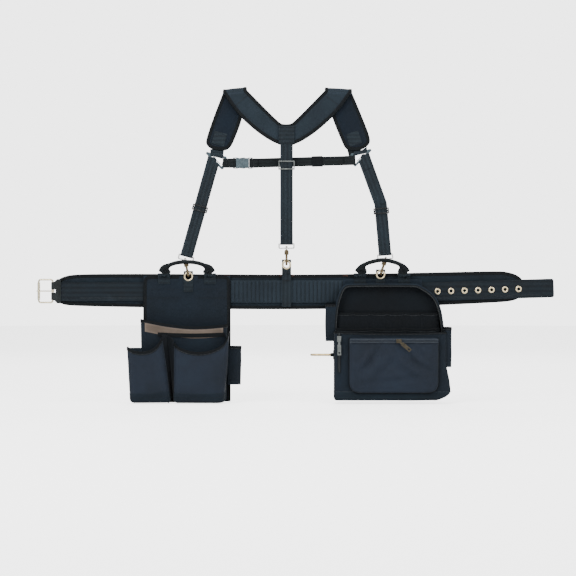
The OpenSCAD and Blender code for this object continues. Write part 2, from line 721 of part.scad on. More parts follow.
zip_y = -(bag_front + 1.8);
module main_zip_slider() color("#b9bcbf") {
  translate([134.5, zip_y - 4.2, -132]) cube([11, 4, 15]);
  for (s = [-1, 1]) translate([140 + s * 4 - 1, zip_y - 8, -130]) cube([2, 4.4, 5]);
  bar_x([140, zip_y - 6, -127.5], 9, 1);
}
module main_zip_pull() color("#a9acb0") difference() {
  union() {
    bar_x([140, zip_y - 6, -127.5], 5.4, 1.7);
    translate([137, zip_y - 7, -141]) cube([6, 1.8, 13]);
    translate([135, zip_y - 7, -168]) cube([10, 1.8, 28]);
  }
  bar_x([140, zip_y - 6, -127.5], 9, 1.05);
  bar_y([140, zip_y - 6, -161], 9, 2.4);
}
tape_y = -(bag_front + 13.6);
module pocket_zip_slider() color("#7b6a4c") {
  translate([291, tape_y - 4.2, -135]) cube([14, 4, 10.6]);
  bar_y([298, tape_y - 5.6, -129.7], 4, 1.5);
  bar_y([298, tape_y - 7.2, -129.7], 1, 2.6);
}
module pocket_zip_pull() color("#6f5f43") translate([298, tape_y, -129.7]) rotate([0, 40, 0])
  difference() {
    translate([0, -4.5, 0]) slab(0, 1.8) {
      circle(r = 5);
      rect(0, 12, -3, 3);
      rect(10, 40, -5, 5);
    }
    bar_y([0, -5, 0], 12, 1.6);
    bar_y([34, -5, 0], 12, 2.4);
  }

module hammer_loop() color("#b08d4c") {
  translate([93.5, -58, -168]) rotate([90, 0, 0]) wire_loop(55, 44, 10, 2.25);
}

pad_cover();
pad_foam();
pad_binding();
rib_sleeve();
centre_tab();
centre_grommet();
web_belt();
belt_grommets();
buckle_chape();
buckle_frame();
buckle_roller();
buckle_prong();
yoke_cover();
yoke_foam();
yoke_binding();
yoke_webs();
back_strap();
back_slide();
back_hook_loop();
back_hook();
back_gate();
shoulder_rings();
chest_web_left();
chest_web_right();
chest_keeper();
chest_socket();
chest_plug();
chest_latch_upper();
chest_latch_lower();
left_strap();
left_adjuster();
left_hook_loop();
left_hook();
left_gate();
right_strap();
right_adjuster();
right_hook_loop();
right_hook();
right_gate();
left_back_panel();
left_panel_webs();
left_grommet();
left_handle();
left_mid_pocket();
left_front_pockets();
left_bar_sleeve();
right_back_panel();
right_panel_webs();
right_grommet();
right_handle();
bag_shell();
bag_front_pocket();
bag_tool_pockets();
bag_side_pockets();
zip_tapes();
main_zip_slider();
main_zip_pull();
pocket_zip_slider();
pocket_zip_pull();
hammer_loop();
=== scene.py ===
"""A carpenter's padded tool belt and its yoke: cloth, webbing, bindings, stitching and metalwork."""
import math

import bmesh
import bpy
import numpy as np
from mathutils import Matrix, Vector, noise
from mathutils.bvhtree import BVHTree


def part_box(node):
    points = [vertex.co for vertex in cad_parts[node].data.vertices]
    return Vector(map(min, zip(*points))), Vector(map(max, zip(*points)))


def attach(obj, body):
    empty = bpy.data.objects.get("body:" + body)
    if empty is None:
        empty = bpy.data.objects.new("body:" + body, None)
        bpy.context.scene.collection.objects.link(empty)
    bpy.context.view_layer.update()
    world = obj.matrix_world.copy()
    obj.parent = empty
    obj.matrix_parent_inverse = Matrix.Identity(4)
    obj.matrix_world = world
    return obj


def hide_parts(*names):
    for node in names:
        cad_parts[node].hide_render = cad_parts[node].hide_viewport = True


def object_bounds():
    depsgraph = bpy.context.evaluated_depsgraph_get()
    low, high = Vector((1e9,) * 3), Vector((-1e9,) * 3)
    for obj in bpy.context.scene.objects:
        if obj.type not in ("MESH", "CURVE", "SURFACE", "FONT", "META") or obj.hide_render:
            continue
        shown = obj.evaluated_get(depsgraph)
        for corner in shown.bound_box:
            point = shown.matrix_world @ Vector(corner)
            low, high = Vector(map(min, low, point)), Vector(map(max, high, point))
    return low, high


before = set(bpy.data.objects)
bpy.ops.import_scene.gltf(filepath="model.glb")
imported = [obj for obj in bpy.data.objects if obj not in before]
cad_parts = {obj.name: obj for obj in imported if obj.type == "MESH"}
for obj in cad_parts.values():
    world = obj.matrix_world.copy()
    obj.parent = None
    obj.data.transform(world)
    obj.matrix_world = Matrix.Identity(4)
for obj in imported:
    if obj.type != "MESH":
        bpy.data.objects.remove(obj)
cad_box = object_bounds()

# Everything below is worked out in millimetres; piece() turns a finished mesh into metres.
MM = 0.001

# ---- driving sizes, in millimetres ----

CLOTH = 2.2            # wall of the pouches' fabric
TAPE = 0.9             # thickness of binding tape
STITCH = 3.4           # one stitch and its gap
THREAD = 0.75          # thread thickness
PHOTO_W = 1555.0       # width that the picture takes in at the belt
LENS = 100.0           # long lens, so the belt stays square
GOLDEN = 0.61803       # spreads a noise seed over a second axis
PAD_T = 12.0           # thickness of the lumbar pad
PANEL_Y = -20.6        # middle of a pouch's back panel
SHELL_Y = -21.8        # front of a back panel, where the pockets start
FORWARD = Vector((0, -1, 0))
UP = Vector((0, 0, 1))
RIGHT = Vector((1, 0, 0))


def node_box(name):
    low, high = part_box(name)
    return low / MM, high / MM


# ---------------------------------------------------------------- materials

def tree(name):
    mat = bpy.data.materials.new(name)
    mat.use_nodes = True
    return mat, mat.node_tree, mat.node_tree.nodes["Principled BSDF"]


def put(t, kind, op=None, **values):
    node = t.nodes.new(kind)
    if op:
        node.operation = op
    for key, value in values.items():
        numbered = key[0] == "i" and key[1:].isdigit()
        socket = node.inputs[int(key[1:]) if numbered else key.replace("_", " ")]
        if isinstance(value, bpy.types.NodeSocket):
            t.links.new(value, socket)
        else:
            socket.default_value = value
    return node


def math_node(t, op, a, b=0.0, c=0.0):
    return put(t, "ShaderNodeMath", op, i0=a, i1=b, i2=c).outputs[0]


def ridge(t, value, pitch):
    """A sine of a length in metres, one wave for each pitch in millimetres."""
    return math_node(t, "SINE", math_node(t, "MULTIPLY", value, 2 * math.pi / (pitch * MM)))


def noise_of(t, vector, scale, detail=3.0, rough=0.5):
    return put(t, "ShaderNodeTexNoise", Vector=vector, Scale=scale, Detail=detail,
               Roughness=rough).outputs["Fac"]


def span(t, value, low, high, to_low, to_high):
    node = t.nodes.new("ShaderNodeMapRange")
    t.links.new(value, node.inputs[0])
    for i, v in enumerate((low, high, to_low, to_high), 1):
        node.inputs[i].default_value = v
    return node.outputs[0]


def blend_colours(t, fac, a, b):
    node = t.nodes.new("ShaderNodeMix")
    node.data_type = "RGBA"
    t.links.new(fac, node.inputs[0])
    for socket, value in ((node.inputs[6], a), (node.inputs[7], b)):
        if isinstance(value, bpy.types.NodeSocket):
            t.links.new(value, socket)
        else:
            socket.default_value = (*value, 1)
    return node.outputs[2]


def object_place(t):
    return t.nodes.new("ShaderNodeTexCoord").outputs["Object"]


def weave_lengths(t):
    """The mesh's own along-and-across coordinates, in metres."""
    along_across = t.nodes.new("ShaderNodeAttribute")
    along_across.attribute_name = "weave"
    return put(t, "ShaderNodeSeparateXYZ", Vector=along_across.outputs["Vector"]).outputs


def paler(colour, times, plus):
    return tuple(min(1, c * times + plus) for c in colour)


def finish_surface(t, bsdf, colour, rough, height, strength, distance):
    bump = put(t, "ShaderNodeBump", Height=height, Strength=strength, Distance=distance)
    t.links.new(bump.outputs[0], bsdf.inputs["Normal"])
    t.links.new(colour, bsdf.inputs["Base Color"])
    t.links.new(rough, bsdf.inputs["Roughness"])


def worn(t, colour, light, amount=0.5):
    """Rubs convex edges paler."""
    geometry = t.nodes.new("ShaderNodeNewGeometry")
    edge = span(t, geometry.outputs["Pointiness"], 0.53, 0.62, 0.0, amount)
    return blend_colours(t, edge, colour, light)


def cloth(name, dark, light, pitch=1.3, sheen=0.02, rough=(0.72, 0.9), bump=0.35):
    """Plain-woven nylon: crossing yarns, cloudy dye and a rubbed nap."""
    mat, t, bsdf = tree(name)
    place = object_place(t)
    xyz = put(t, "ShaderNodeSeparateXYZ", Vector=place).outputs
    warp = ridge(t, math_node(t, "ADD", xyz[0], xyz[1]), pitch)
    weft = ridge(t, xyz[2], pitch)
    weave = math_node(t, "MULTIPLY", warp, weft)
    cloud = noise_of(t, place, 9.0, 4.0, 0.6)
    fuzz = noise_of(t, place, 700.0, 2.0)
    tone = math_node(t, "MULTIPLY_ADD", weave, 0.16, span(t, cloud, 0.32, 0.7, 0.15, 0.85))
    tone = math_node(t, "MULTIPLY_ADD", fuzz, 0.25, math_node(t, "SUBTRACT", tone, 0.12))
    colour = worn(t, blend_colours(t, tone, dark, light), paler(light, 1.5, 0.002), 0.35)
    finish_surface(t, bsdf, colour, span(t, cloud, 0.3, 0.7, *rough),
                   math_node(t, "MULTIPLY_ADD", fuzz, 0.6, weave), bump, 0.0005)
    bsdf.inputs["Sheen Weight"].default_value = sheen
    bsdf.inputs["Sheen Roughness"].default_value = 0.55
    bsdf.inputs["Specular IOR Level"].default_value = 0.14
    return mat


def webbing(name, dark, light, rib=2.3, pick=1.5, sheen=0.02):
    """Woven strap: ribs run along it and picks across it, from the mesh's own along-and-across coordinates."""
    mat, t, bsdf = tree(name)
    xyz = weave_lengths(t)
    place = object_place(t)
    ribs = ridge(t, xyz[1], rib)
    lean = math_node(t, "MULTIPLY_ADD", math_node(t, "ABSOLUTE", ribs), 0.0006, xyz[0])
    picks = ridge(t, lean, pick)
    height = math_node(t, "MULTIPLY_ADD", picks, 0.45, ribs)
    cloud = noise_of(t, place, 22.0, 4.0, 0.6)
    stripe = ridge(t, xyz[1], rib * 4.7)
    tone = math_node(t, "MULTIPLY_ADD", height, 0.16, span(t, cloud, 0.3, 0.7, 0.25, 0.75))
    tone = math_node(t, "MULTIPLY_ADD", stripe, 0.22, tone)
    colour = worn(t, blend_colours(t, tone, dark, light), paler(light, 1.6, 0.002), 0.4)
    finish_surface(t, bsdf, colour, span(t, cloud, 0.3, 0.7, 0.6, 0.82), height, 0.5, 0.0006)
    bsdf.inputs["Sheen Weight"].default_value = sheen
    bsdf.inputs["Specular IOR Level"].default_value = 0.16
    return mat


def tape_cloth(name, dark, light):
    """Grosgrain binding: fine cords across the tape."""
    mat, t, bsdf = tree(name)
    xyz = weave_lengths(t)
    place = object_place(t)
    cords = ridge(t, xyz[0], 1.4)
    cloud = noise_of(t, place, 30.0, 4.0, 0.6)
    tone = math_node(t, "MULTIPLY_ADD", cords, 0.2, span(t, cloud, 0.3, 0.7, 0.2, 0.8))
    finish_surface(t, bsdf, blend_colours(t, tone, dark, light), span(t, cloud, 0.3, 0.7, 0.55, 0.78),
                   cords, 0.4, 0.0005)
    bsdf.inputs["Specular IOR Level"].default_value = 0.12
    return mat


def metal(name, bright, tarnish, rough=(0.2, 0.42), grime=0.55, scale=120.0):
    """Plated or cast metal: tarnish in patches, fine scratches and paler rubbed edges."""
    mat, t, bsdf = tree(name)
    place = object_place(t)
    patch = noise_of(t, place, scale, 5.0, 0.65)
    stretched = put(t, "ShaderNodeMapping", Vector=place, Scale=(300.0, 300.0, 2600.0)).outputs[0]
    scratch = noise_of(t, stretched, 1.0, 2.0)
    tone = span(t, patch, 0.35, 0.7, 0.0, grime)
    colour = worn(t, blend_colours(t, tone, bright, tarnish), paler(bright, 1.15, 0.05), 0.7)
    rough = math_node(t, "MULTIPLY_ADD", scratch, 0.1, span(t, patch, 0.3, 0.7, *rough))
    finish_surface(t, bsdf, colour, rough, math_node(t, "MULTIPLY_ADD", patch, 0.5, scratch), 0.12, 0.0003)
    bsdf.inputs["Metallic"].default_value = 1.0
    return mat


def plastic(name, dark, light, rough=(0.34, 0.5)):
    """Moulded nylon or acetal: a fine spark-eroded grain, and edges rubbed pale."""
    mat, t, bsdf = tree(name)
    place = object_place(t)
    grain = noise_of(t, place, 1500.0, 2.0)
    cloud = noise_of(t, place, 60.0, 3.0)
    colour = worn(t, blend_colours(t, span(t, cloud, 0.3, 0.7, 0.0, 1.0), dark, light),
                  paler(light, 1.6, 0.02), 0.6)
    finish_surface(t, bsdf, colour, span(t, cloud, 0.3, 0.7, *rough), grain, 0.18, 0.0002)
    bsdf.inputs["Specular IOR Level"].default_value = 0.3
    return mat


def hide(name, dark, light):
    """Pebbled, coated leather."""
    mat, t, bsdf = tree(name)
    place = object_place(t)
    cells = put(t, "ShaderNodeTexVoronoi", Vector=place, Scale=620.0).outputs["Distance"]
    cloud = noise_of(t, place, 40.0, 4.0, 0.6)
    dye = blend_colours(t, span(t, cloud, 0.3, 0.7, 0.0, 1.0), dark, light)
    colour = worn(t, dye, (0.018, 0.024, 0.026), 0.6)
    finish_surface(t, bsdf, colour, span(t, cloud, 0.3, 0.7, 0.42, 0.6), cells, 0.4, 0.0004)
    bsdf.inputs["Specular IOR Level"].default_value = 0.25
    return mat


def spun(name, dark, light):
    """Twisted sewing thread."""
    mat, t, bsdf = tree(name)
    place = object_place(t)
    twist = noise_of(t, place, 1800.0, 1.0)
    finish_surface(t, bsdf, blend_colours(t, span(t, twist, 0.3, 0.7, 0.0, 1.0), dark, light),
                   span(t, twist, 0.3, 0.7, 0.5, 0.7), twist, 0.3, 0.0003)
    bsdf.inputs["Specular IOR Level"].default_value = 0.2
    return mat


MATS = {
    "pad": cloth("pad_nylon", (0.0036, 0.0066, 0.0100), (0.0105, 0.0180, 0.0255), 1.5),
    "navy": cloth("front_pad_nylon", (0.0026, 0.0050, 0.0090), (0.0072, 0.0125, 0.0205), 1.4),
    "lining": cloth("air_mesh", (0.0030, 0.0042, 0.0060), (0.0120, 0.0160, 0.0210), 3.2, bump=0.8),
    "pouch": cloth("pouch_nylon", (0.0040, 0.0068, 0.0105), (0.0100, 0.0165, 0.0250), 1.3),
    "slate": cloth("slate_nylon", (0.0046, 0.0078, 0.0136), (0.0125, 0.0200, 0.0335), 1.2, 0.04, (0.5, 0.7)),
    "yoke": cloth("yoke_nylon", (0.0075, 0.0122, 0.0175), (0.0185, 0.0280, 0.0375), 1.4),
    # the darkest cloth, for the inside of the bag; on the pleat between the left front pockets it paints shade
    "dark": cloth("inner_nylon", (0.0020, 0.0030, 0.0042), (0.0060, 0.0085, 0.0115), 1.3),
    "tan": cloth("tan_facing", (0.060, 0.046, 0.036), (0.150, 0.118, 0.095), 1.4),
    "web": webbing("strap_webbing", (0.0045, 0.0075, 0.0105), (0.0150, 0.0230, 0.0300)),
    "belt": webbing("belt_webbing", (0.0024, 0.0042, 0.0064), (0.0095, 0.0150, 0.0205), 2.8, 1.8),
    "chest": webbing("chest_webbing", (0.0020, 0.0034, 0.0040), (0.0080, 0.0115, 0.0130), 2.0, 1.4),
    "bind": tape_cloth("binding_tape", (0.0012, 0.0018, 0.0024), (0.0050, 0.0068, 0.0085)),
    "ziptape": tape_cloth("zip_tape", (0.0030, 0.0042, 0.0055), (0.0110, 0.0140, 0.0170)),
    "brass": metal("eyelet_brass", (0.80, 0.68, 0.45), (0.36, 0.27, 0.14), (0.16, 0.34), 0.5),
    "buckle": metal("pale_gold_plate", (0.72, 0.64, 0.45), (0.36, 0.29, 0.18), (0.14, 0.3), 0.5),
    "nickel": metal("bright_nickel", (0.86, 0.86, 0.85), (0.55, 0.54, 0.52), (0.1, 0.24), 0.35),
    "hook": metal("antique_brass", (0.20, 0.155, 0.092), (0.055, 0.042, 0.025), (0.22, 0.4), 0.85),
    "antique": metal("antique_zip", (0.085, 0.074, 0.054), (0.030, 0.026, 0.019), (0.3, 0.5), 0.8),
    "silver": metal("zip_silver", (0.20, 0.215, 0.21), (0.07, 0.074, 0.073), (0.25, 0.42), 0.6),
    "holder": metal("holder_brass", (0.60, 0.46, 0.23), (0.24, 0.16, 0.07), (0.2, 0.38), 0.6),
    "clip": plastic("blue_grey_acetal", (0.034, 0.052, 0.062), (0.062, 0.090, 0.104)),
    "black": plastic("black_nylon_moulding", (0.0030, 0.0036, 0.0042), (0.0100, 0.0115, 0.0130)),
    "teeth": plastic("zip_tooth_nylon", (0.007, 0.008, 0.009), (0.022, 0.025, 0.027)),
    "hide": hide("coated_leather", (0.0025, 0.0040, 0.0044), (0.0095, 0.0135, 0.0145)),
    "grey_thread": spun("grey_thread", (0.040, 0.046, 0.054), (0.085, 0.095, 0.108)),
    "mid_thread": spun("navy_thread", (0.016, 0.021, 0.026), (0.030, 0.038, 0.046)),
    # black thread, also drawn as painted shade: the rib sleeve's groove lines, the band below each shoulder
    # fold and the shadow line on the pad above the webbing
    "dark_thread": spun("black_thread", (0.0035, 0.0045, 0.0058), (0.0110, 0.0140, 0.0175)),
    "rust_thread": spun("rust_thread", (0.060, 0.026, 0.017), (0.150, 0.070, 0.048)),
}


# ---------------------------------------------------------------- mesh tools

def object_of(name, verts, faces, mat):
    """A bare object, still in millimetres."""
    mesh = bpy.data.meshes.new(name)
    mesh.from_pydata([tuple(v) for v in verts], [], faces)
    mesh.validate()
    obj = bpy.data.objects.new(name, mesh)
    bpy.context.scene.collection.objects.link(obj)
    mesh.materials.append(MATS[mat])
    return obj


def coords(obj):
    return np.array([v.co for v in obj.data.vertices], float).reshape(-1, 3)


def set_coords(obj, co):
    obj.data.vertices.foreach_set("co", np.asarray(co, np.float32).ravel())
    obj.data.update()


def normals(obj):
    return np.array([v.normal for v in obj.data.vertices], float).reshape(-1, 3)


def modify(obj, *steps):
    """Adds modifiers and applies them at once: (type, {setting: value}) each."""
    for kind, settings in steps:
        m = obj.modifiers.new(kind.lower(), kind)
        for key, value in settings.items():
            setattr(m, key, value)
    bpy.context.view_layer.update()
    done = bpy.data.meshes.new_from_object(obj.evaluated_get(bpy.context.evaluated_depsgraph_get()))
    obj.modifiers.clear()
    old, obj.data = obj.data, done
    bpy.data.meshes.remove(old)
    return obj


def subdivide(obj, levels=1):
    return modify(obj, ("SUBSURF", {"levels": levels, "render_levels": levels}))


def join(name, objects):
    """One mesh from several, each keeping its materials and its weave coordinates."""
    if len(objects) == 1:
        objects[0].name = name
        return objects[0]
    with bpy.context.temp_override(active_object=objects[0], selected_editable_objects=objects):
        bpy.ops.object.join()
    objects[0].name = name
    return objects[0]


def weave_of(obj, uv):
    """Stores along-and-across coordinates, in metres, for the webbing and tape materials."""
    a = obj.data.attributes.get("weave") or obj.data.attributes.new("weave", "FLOAT_VECTOR", "POINT")
    flat = np.zeros((len(obj.data.vertices), 3), np.float32)
    flat[:, :2] = np.asarray(uv, float)[:, :2] * MM
    a.data.foreach_set("vector", flat.ravel())
    return obj


def piece(obj, name, body, replaces=(), smooth=40.0):
    """Scales a mesh to metres, ties it to its body and hides the CAD nodes it stands for."""
    obj.name = obj.data.name = name
    obj.data.transform(Matrix.Scale(MM, 4))
    for p in obj.data.polygons:
        p.use_smooth = True
    obj.data.set_sharp_from_angle(angle=math.radians(smooth))
    obj.data.update()
    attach(obj, body)
    if replaces:
        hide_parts(*([replaces] if isinstance(replaces, str) else replaces))
    return obj


def cad_mesh(node):
    """A CAD node's surface as an editable copy in millimetres, welded."""
    bm = bmesh.new()
    bm.from_mesh(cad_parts[node].data)
    bmesh.ops.scale(bm, vec=Vector((1, 1, 1)) / MM, verts=bm.verts)
    bmesh.ops.remove_doubles(bm, verts=bm.verts, dist=0.005)
    return bm


def copy_of(node, mat, part=None):
    """A CAD node's surface with its flat faces whole; part picks loose shells."""
    bm = cad_mesh(node)
    if part:
        shells, left = [], set(bm.verts)
        while left:
            seen, todo = set(), [next(iter(left))]
            while todo:
                v = todo.pop()
                if v not in seen:
                    seen.add(v)
                    todo += [e.other_vert(v) for e in v.link_edges]
            shells.append(seen)
            left -= seen
        drop = [v for s in shells if not part([v.co for v in s]) for v in s]
        bmesh.ops.delete(bm, geom=drop, context="VERTS")
    bmesh.ops.dissolve_limit(bm, angle_limit=math.radians(0.6), verts=bm.verts, edges=bm.edges)
    return object_from(bm, node, mat)


def object_from(bm, name, mat):
    mesh = bpy.data.meshes.new(name)
    bm.to_mesh(mesh)
    bm.free()
    obj = bpy.data.objects.new(name, mesh)
    bpy.context.scene.collection.objects.link(obj)
    mesh.materials.clear()
    mesh.materials.append(MATS[mat])
    return obj


def cut_up(obj, step, axes="xz"):
    """Cuts a mesh along evenly spaced planes, so that it can bend."""
    bm = bmesh.new()
    bm.from_mesh(obj.data)
    co = coords(obj)
    for axis in axes:
        i = "xyz".index(axis)
        low, high = co[:, i].min(), co[:, i].max()
        count = max(1, int(round((high - low) / step)))
        n = Vector([0, 0, 0])
        n[i] = 1
        for k in range(1, count):
            p = Vector([0, 0, 0])
            p[i] = low + (high - low) * k / count + 0.013
            everything = bm.verts[:] + bm.edges[:] + bm.faces[:]
            bmesh.ops.bisect_plane(bm, geom=everything, plane_co=p, plane_no=n, dist=0.002)
    bm.to_mesh(obj.data)
    bm.free()
    return obj


def round_edges(obj, width=0.5, segments=2, angle=35.0):
    return modify(obj, ("BEVEL", {"width": width, "segments": segments, "limit_method": "ANGLE",
                                  "angle_limit": math.radians(angle), "harden_normals": False}))


def strap_weave(obj, splits=()):
    """Along-and-across coordinates from the mesh's own long axis, fitted afresh in each band between split
    heights, where a strap bends.
    """
    co = coords(obj)
    uv = np.zeros((len(co), 2))
    edges = [-1e9, *splits, 1e9]
    for low, high in zip(edges, edges[1:]):
        pick = (co[:, 2] >= low) & (co[:, 2] < high)
        if pick.sum() < 3:
            continue
        xz = co[pick][:, [0, 2]]
        mid = xz.mean(0)
        v = np.linalg.eigh(np.cov((xz - mid).T))[1]
        axis = v[:, 1] if v[1, 1] >= 0 else -v[:, 1]
        uv[pick, 0] = (xz - mid) @ axis
        uv[pick, 1] = (xz - mid) @ np.array([-axis[1], axis[0]])
    return weave_of(obj, uv)


def ripple(obj, amount, scale, seed=0.0, along=None, keep=None):
    """Moves points along their normals (or one direction) by smooth noise, in millimetres."""
    co, n = coords(obj), normals(obj)
    if along is not None:
        n = np.tile(np.array(along, float), (len(co), 1))
    for i, c in enumerate(co):
        w = 1.0 if keep is None else keep(c)
        if w:
            n_i = noise.noise(Vector(c) * scale + Vector((seed, seed * GOLDEN, -seed)))
            co[i] = c + n[i] * (n_i * amount * w)
    set_coords(obj, co)
    return obj


def soft_copy(node, mat, step=9.0, edge=0.5, wave=0.25, splits=(), part=None, axes="xz"):
    """A CAD strap or panel made into sewn webbing: cut up, edges rounded, a little uneven."""
    obj = copy_of(node, mat, part)
    cut_up(obj, step, axes)
    round_edges(obj, edge)
    strap_weave(obj, splits)
    if wave:
        ripple(obj, wave, 0.035, 7.0)
    return obj


def cast_copy(node, mat, voxel=0.6, passes=4, part=None):
    """A CAD casting or moulding with its edges run soft, as metal or plastic leaves a mould."""
    obj = copy_of(node, mat, part)
    modify(obj, ("REMESH", {"mode": "VOXEL", "voxel_size": voxel, "adaptivity": 0.0}),
           ("SMOOTH", {"factor": 0.5, "iterations": passes}))
    return obj


def grid(rows, close_rows=False, close_cols=False, flip=False):
    """Faces over a lattice of points, rows[j][i]."""
    n_rows, n_cols = len(rows), len(rows[0])
    faces = []
    for j in range(n_rows if close_rows else n_rows - 1):
        for i in range(n_cols if close_cols else n_cols - 1):
            a, b = j * n_cols + i, j * n_cols + (i + 1) % n_cols
            c, d = ((j + 1) % n_rows) * n_cols + (i + 1) % n_cols, ((j + 1) % n_rows) * n_cols + i
            faces.append((a, d, c, b) if flip else (a, b, c, d))
    return [p for row in rows for p in row], faces


def smooth_path(points, closed=False, passes=2):
    """Cuts corners off a path, Chaikin's way."""
    points = [Vector(p) for p in points]
    for _ in range(passes):
        out = [] if closed else [points[0]]
        for a, b in zip(points, points[1:] + ([points[0]] if closed else [])):
            out += [a.lerp(b, 0.25), a.lerp(b, 0.75)]
        if not closed:
            out.append(points[-1])
        points = out
    return points


def spaced(points, step, closed=False):
    """The same path with evenly spaced points."""
    points = [Vector(p) for p in points] + ([Vector(points[0])] if closed else [])
    lengths = [0.0]
    for a, b in zip(points, points[1:]):
        lengths.append(lengths[-1] + (b - a).length)
    count = max(2, int(round(lengths[-1] / step)))
    out, k = [], 0
    for i in range(count if closed else count + 1):
        s = lengths[-1] * i / count
        while k < len(lengths) - 2 and lengths[k + 1] < s:
            k += 1
        gap = lengths[k + 1] - lengths[k]
        out.append(points[k].lerp(points[k + 1], (s - lengths[k]) / gap if gap > 1e-9 else 0))
    return out


def sweep(name, path, out_dirs, up_dirs, section, mat, closed=False, scale=None):
    """A section (a, b) carried along a path, a along out_dirs and b along up_dirs."""
    rows, uv, run = [], [], 0.0
    perimeter = [0.0]
    for p, q in zip(section, section[1:]):
        perimeter.append(perimeter[-1] + math.dist(p, q))
    for k, p in enumerate(path):
        if k:
            run += (Vector(p) - Vector(path[k - 1])).length
        sa, sb = scale(k / max(1, len(path) - 1)) if scale else (1, 1)
        rows.append([Vector(p) + out_dirs[k] * (a * sa) + up_dirs[k] * (b * sb) for a, b in section])
        uv += [(run, s) for s in perimeter]
    verts, faces = grid(rows, close_rows=closed, close_cols=True)
    n = len(section)
    if not closed:
        faces += [tuple(range(n)), tuple(range(len(verts) - 1, len(verts) - n - 1, -1))]
    return weave_of(face_outward(object_of(name, verts, faces, mat)), uv)


def face_outward(obj):
    bm = bmesh.new()
    bm.from_mesh(obj.data)
    bmesh.ops.recalc_face_normals(bm, faces=bm.faces)
    bm.to_mesh(obj.data)
    bm.free()
    return obj


def flat_frames(path, closed=False):
    """Outward and facing directions for a path in an upright plane, counterclockwise from the front."""
    outs = []
    for k in range(len(path)):
        a = path[(k - 1) % len(path)] if closed or k else path[k]
        b = path[(k + 1) % len(path)] if closed or k < len(path) - 1 else path[k]
        t = (Vector(b) - Vector(a)).normalized()
        outs.append(Vector((t.z, 0, -t.x)).normalized())
    return outs, [FORWARD] * len(path)


def ring_of(count):
    """Evenly spaced angles round a circle."""
    return [2 * math.pi * k / count for k in range(count)]


def outlines(node, y, tolerance=0.05):
    """The closed outlines of a CAD node's flat faces that lie at one depth, counterclockwise from the front."""
    bm = cad_mesh(node)
    flat = {f for f in bm.faces if all(abs(v.co.y - y) < tolerance for v in f.verts)}
    rim = [e for e in bm.edges if sum(f in flat for f in e.link_faces) == 1]
    links = {}
    for e in rim:
        for v in e.verts:
            links.setdefault(v, []).append(e.other_vert(v))
    loops, left = [], set(links)
    while left:
        start = min(left, key=lambda v: (round(v.co.x, 3), round(v.co.z, 3)))
        loop, v, last = [start], start, None
        while True:
            nxt = [w for w in links[v] if w is not last]
            last, v = v, nxt[0] if nxt else last
            if v is start or v is None:
                break
            loop.append(v)
        left -= set(loop)
        pts = [Vector((v.co.x, y, v.co.z)) for v in loop]
        area = sum(a.x * b.z - b.x * a.z for a, b in zip(pts, pts[1:] + pts[:1]))
        loops.append(pts if area > 0 else pts[::-1])
    bm.free()
    return sorted(loops, key=lambda p: -len(p))


def prism(name, outline, y_front, y_back, mat):
    """A flat slab from an outline of points (x, _, z)."""
    n = len(outline)
    verts = [(p[0], y_front, p[2]) for p in outline] + [(p[0], y_back, p[2]) for p in outline]
    faces = [tuple(range(n)), tuple(range(2 * n - 1, n - 1, -1))]
    faces += [(i, i + n, (i + 1) % n + n, (i + 1) % n) for i in range(n)]
    return face_outward(object_of(name, verts, faces, mat))


def seal(obj, thickness, offset=-1.0):
    return modify(obj, ("SOLIDIFY", {"thickness": thickness, "offset": offset}))


def edge_distance(co, loops):
    """How far each point lies, in the upright plane, from the nearest outline."""
    best = np.full(len(co), 1e9)
    p = co[:, [0, 2]]
    for loop in loops:
        pts = np.array([(q[0], q[2]) for q in loop])
        for a, b in zip(pts, np.roll(pts, -1, 0)):
            d = b - a
            t = np.clip(((p - a) @ d) / max(d @ d, 1e-9), 0, 1)
            best = np.minimum(best, np.linalg.norm(p - (a + t[:, None] * d), axis=1))
    return best


def inflate(obj, pinned, cap, pressure=4.0, frames=20):
    """Swells a pad with cloth under pressure: pinned points stay, and cap says how far each point may move."""
    rest = coords(obj)
    cap = np.broadcast_to(np.asarray(cap, float), (len(rest),))
    obj.data.transform(Matrix.Scale(MM, 4))
    group = obj.vertex_groups.new(name="pin")
    group.add([int(i) for i in np.nonzero(pinned)[0]], 1.0, "REPLACE")
    m = obj.modifiers.new("cloth", "CLOTH")
    s = m.settings
    s.vertex_group_mass = "pin"
    s.use_pressure = True
    s.uniform_pressure_force = pressure
    s.effector_weights.gravity = 0
    s.quality = 5
    s.mass = 0.25
    s.tension_stiffness = s.compression_stiffness = 12
    s.bending_stiffness = 0.6
    m.collision_settings.use_collision = False
    m.point_cache.frame_start, m.point_cache.frame_end = 1, frames
    scene = bpy.context.scene
    for f in range(1, frames + 1):
        scene.frame_set(f)
    done = obj.evaluated_get(bpy.context.evaluated_depsgraph_get())
    moved = np.array([v.co for v in done.data.vertices], float).reshape(-1, 3) / MM - rest
    obj.modifiers.clear()
    obj.vertex_groups.clear()
    scene.frame_set(1)
    length = np.linalg.norm(moved, axis=1)
    limit = np.maximum(cap, 1e-6)
    moved *= (limit * np.tanh(length / limit) / np.maximum(length, 1e-9))[:, None]
    set_coords(obj, rest + moved)
    return obj


class Surface:
    """Finds the front of a piece, so that seams and stitches lie on it."""

    def __init__(self, obj):
        bm = bmesh.new()
        bm.from_mesh(obj.data)
        self.tree = BVHTree.FromBMesh(bm)
        bm.free()

    def front(self, x, z, start=-400.0, way=1.0):
        hit, n = self.tree.ray_cast(Vector((x, start, z)), Vector((0, way, 0)))[:2]
        return (hit, n) if hit else (None, None)

    def depth(self, x, z, missed):
        """Y of the front, or another value where there is none."""
        hit = self.front(x, z)[0]
        return hit.y if hit else missed

    def drape(self, path, start=-400.0, way=1.0):
        """A path laid on the surface along Y, with its normals."""
        out = []
        for p in path:
            hit, n = self.front(p[0], p[2], start, way)
            if hit is not None:
                out.append((hit, n))
        return out


SEWING = {}


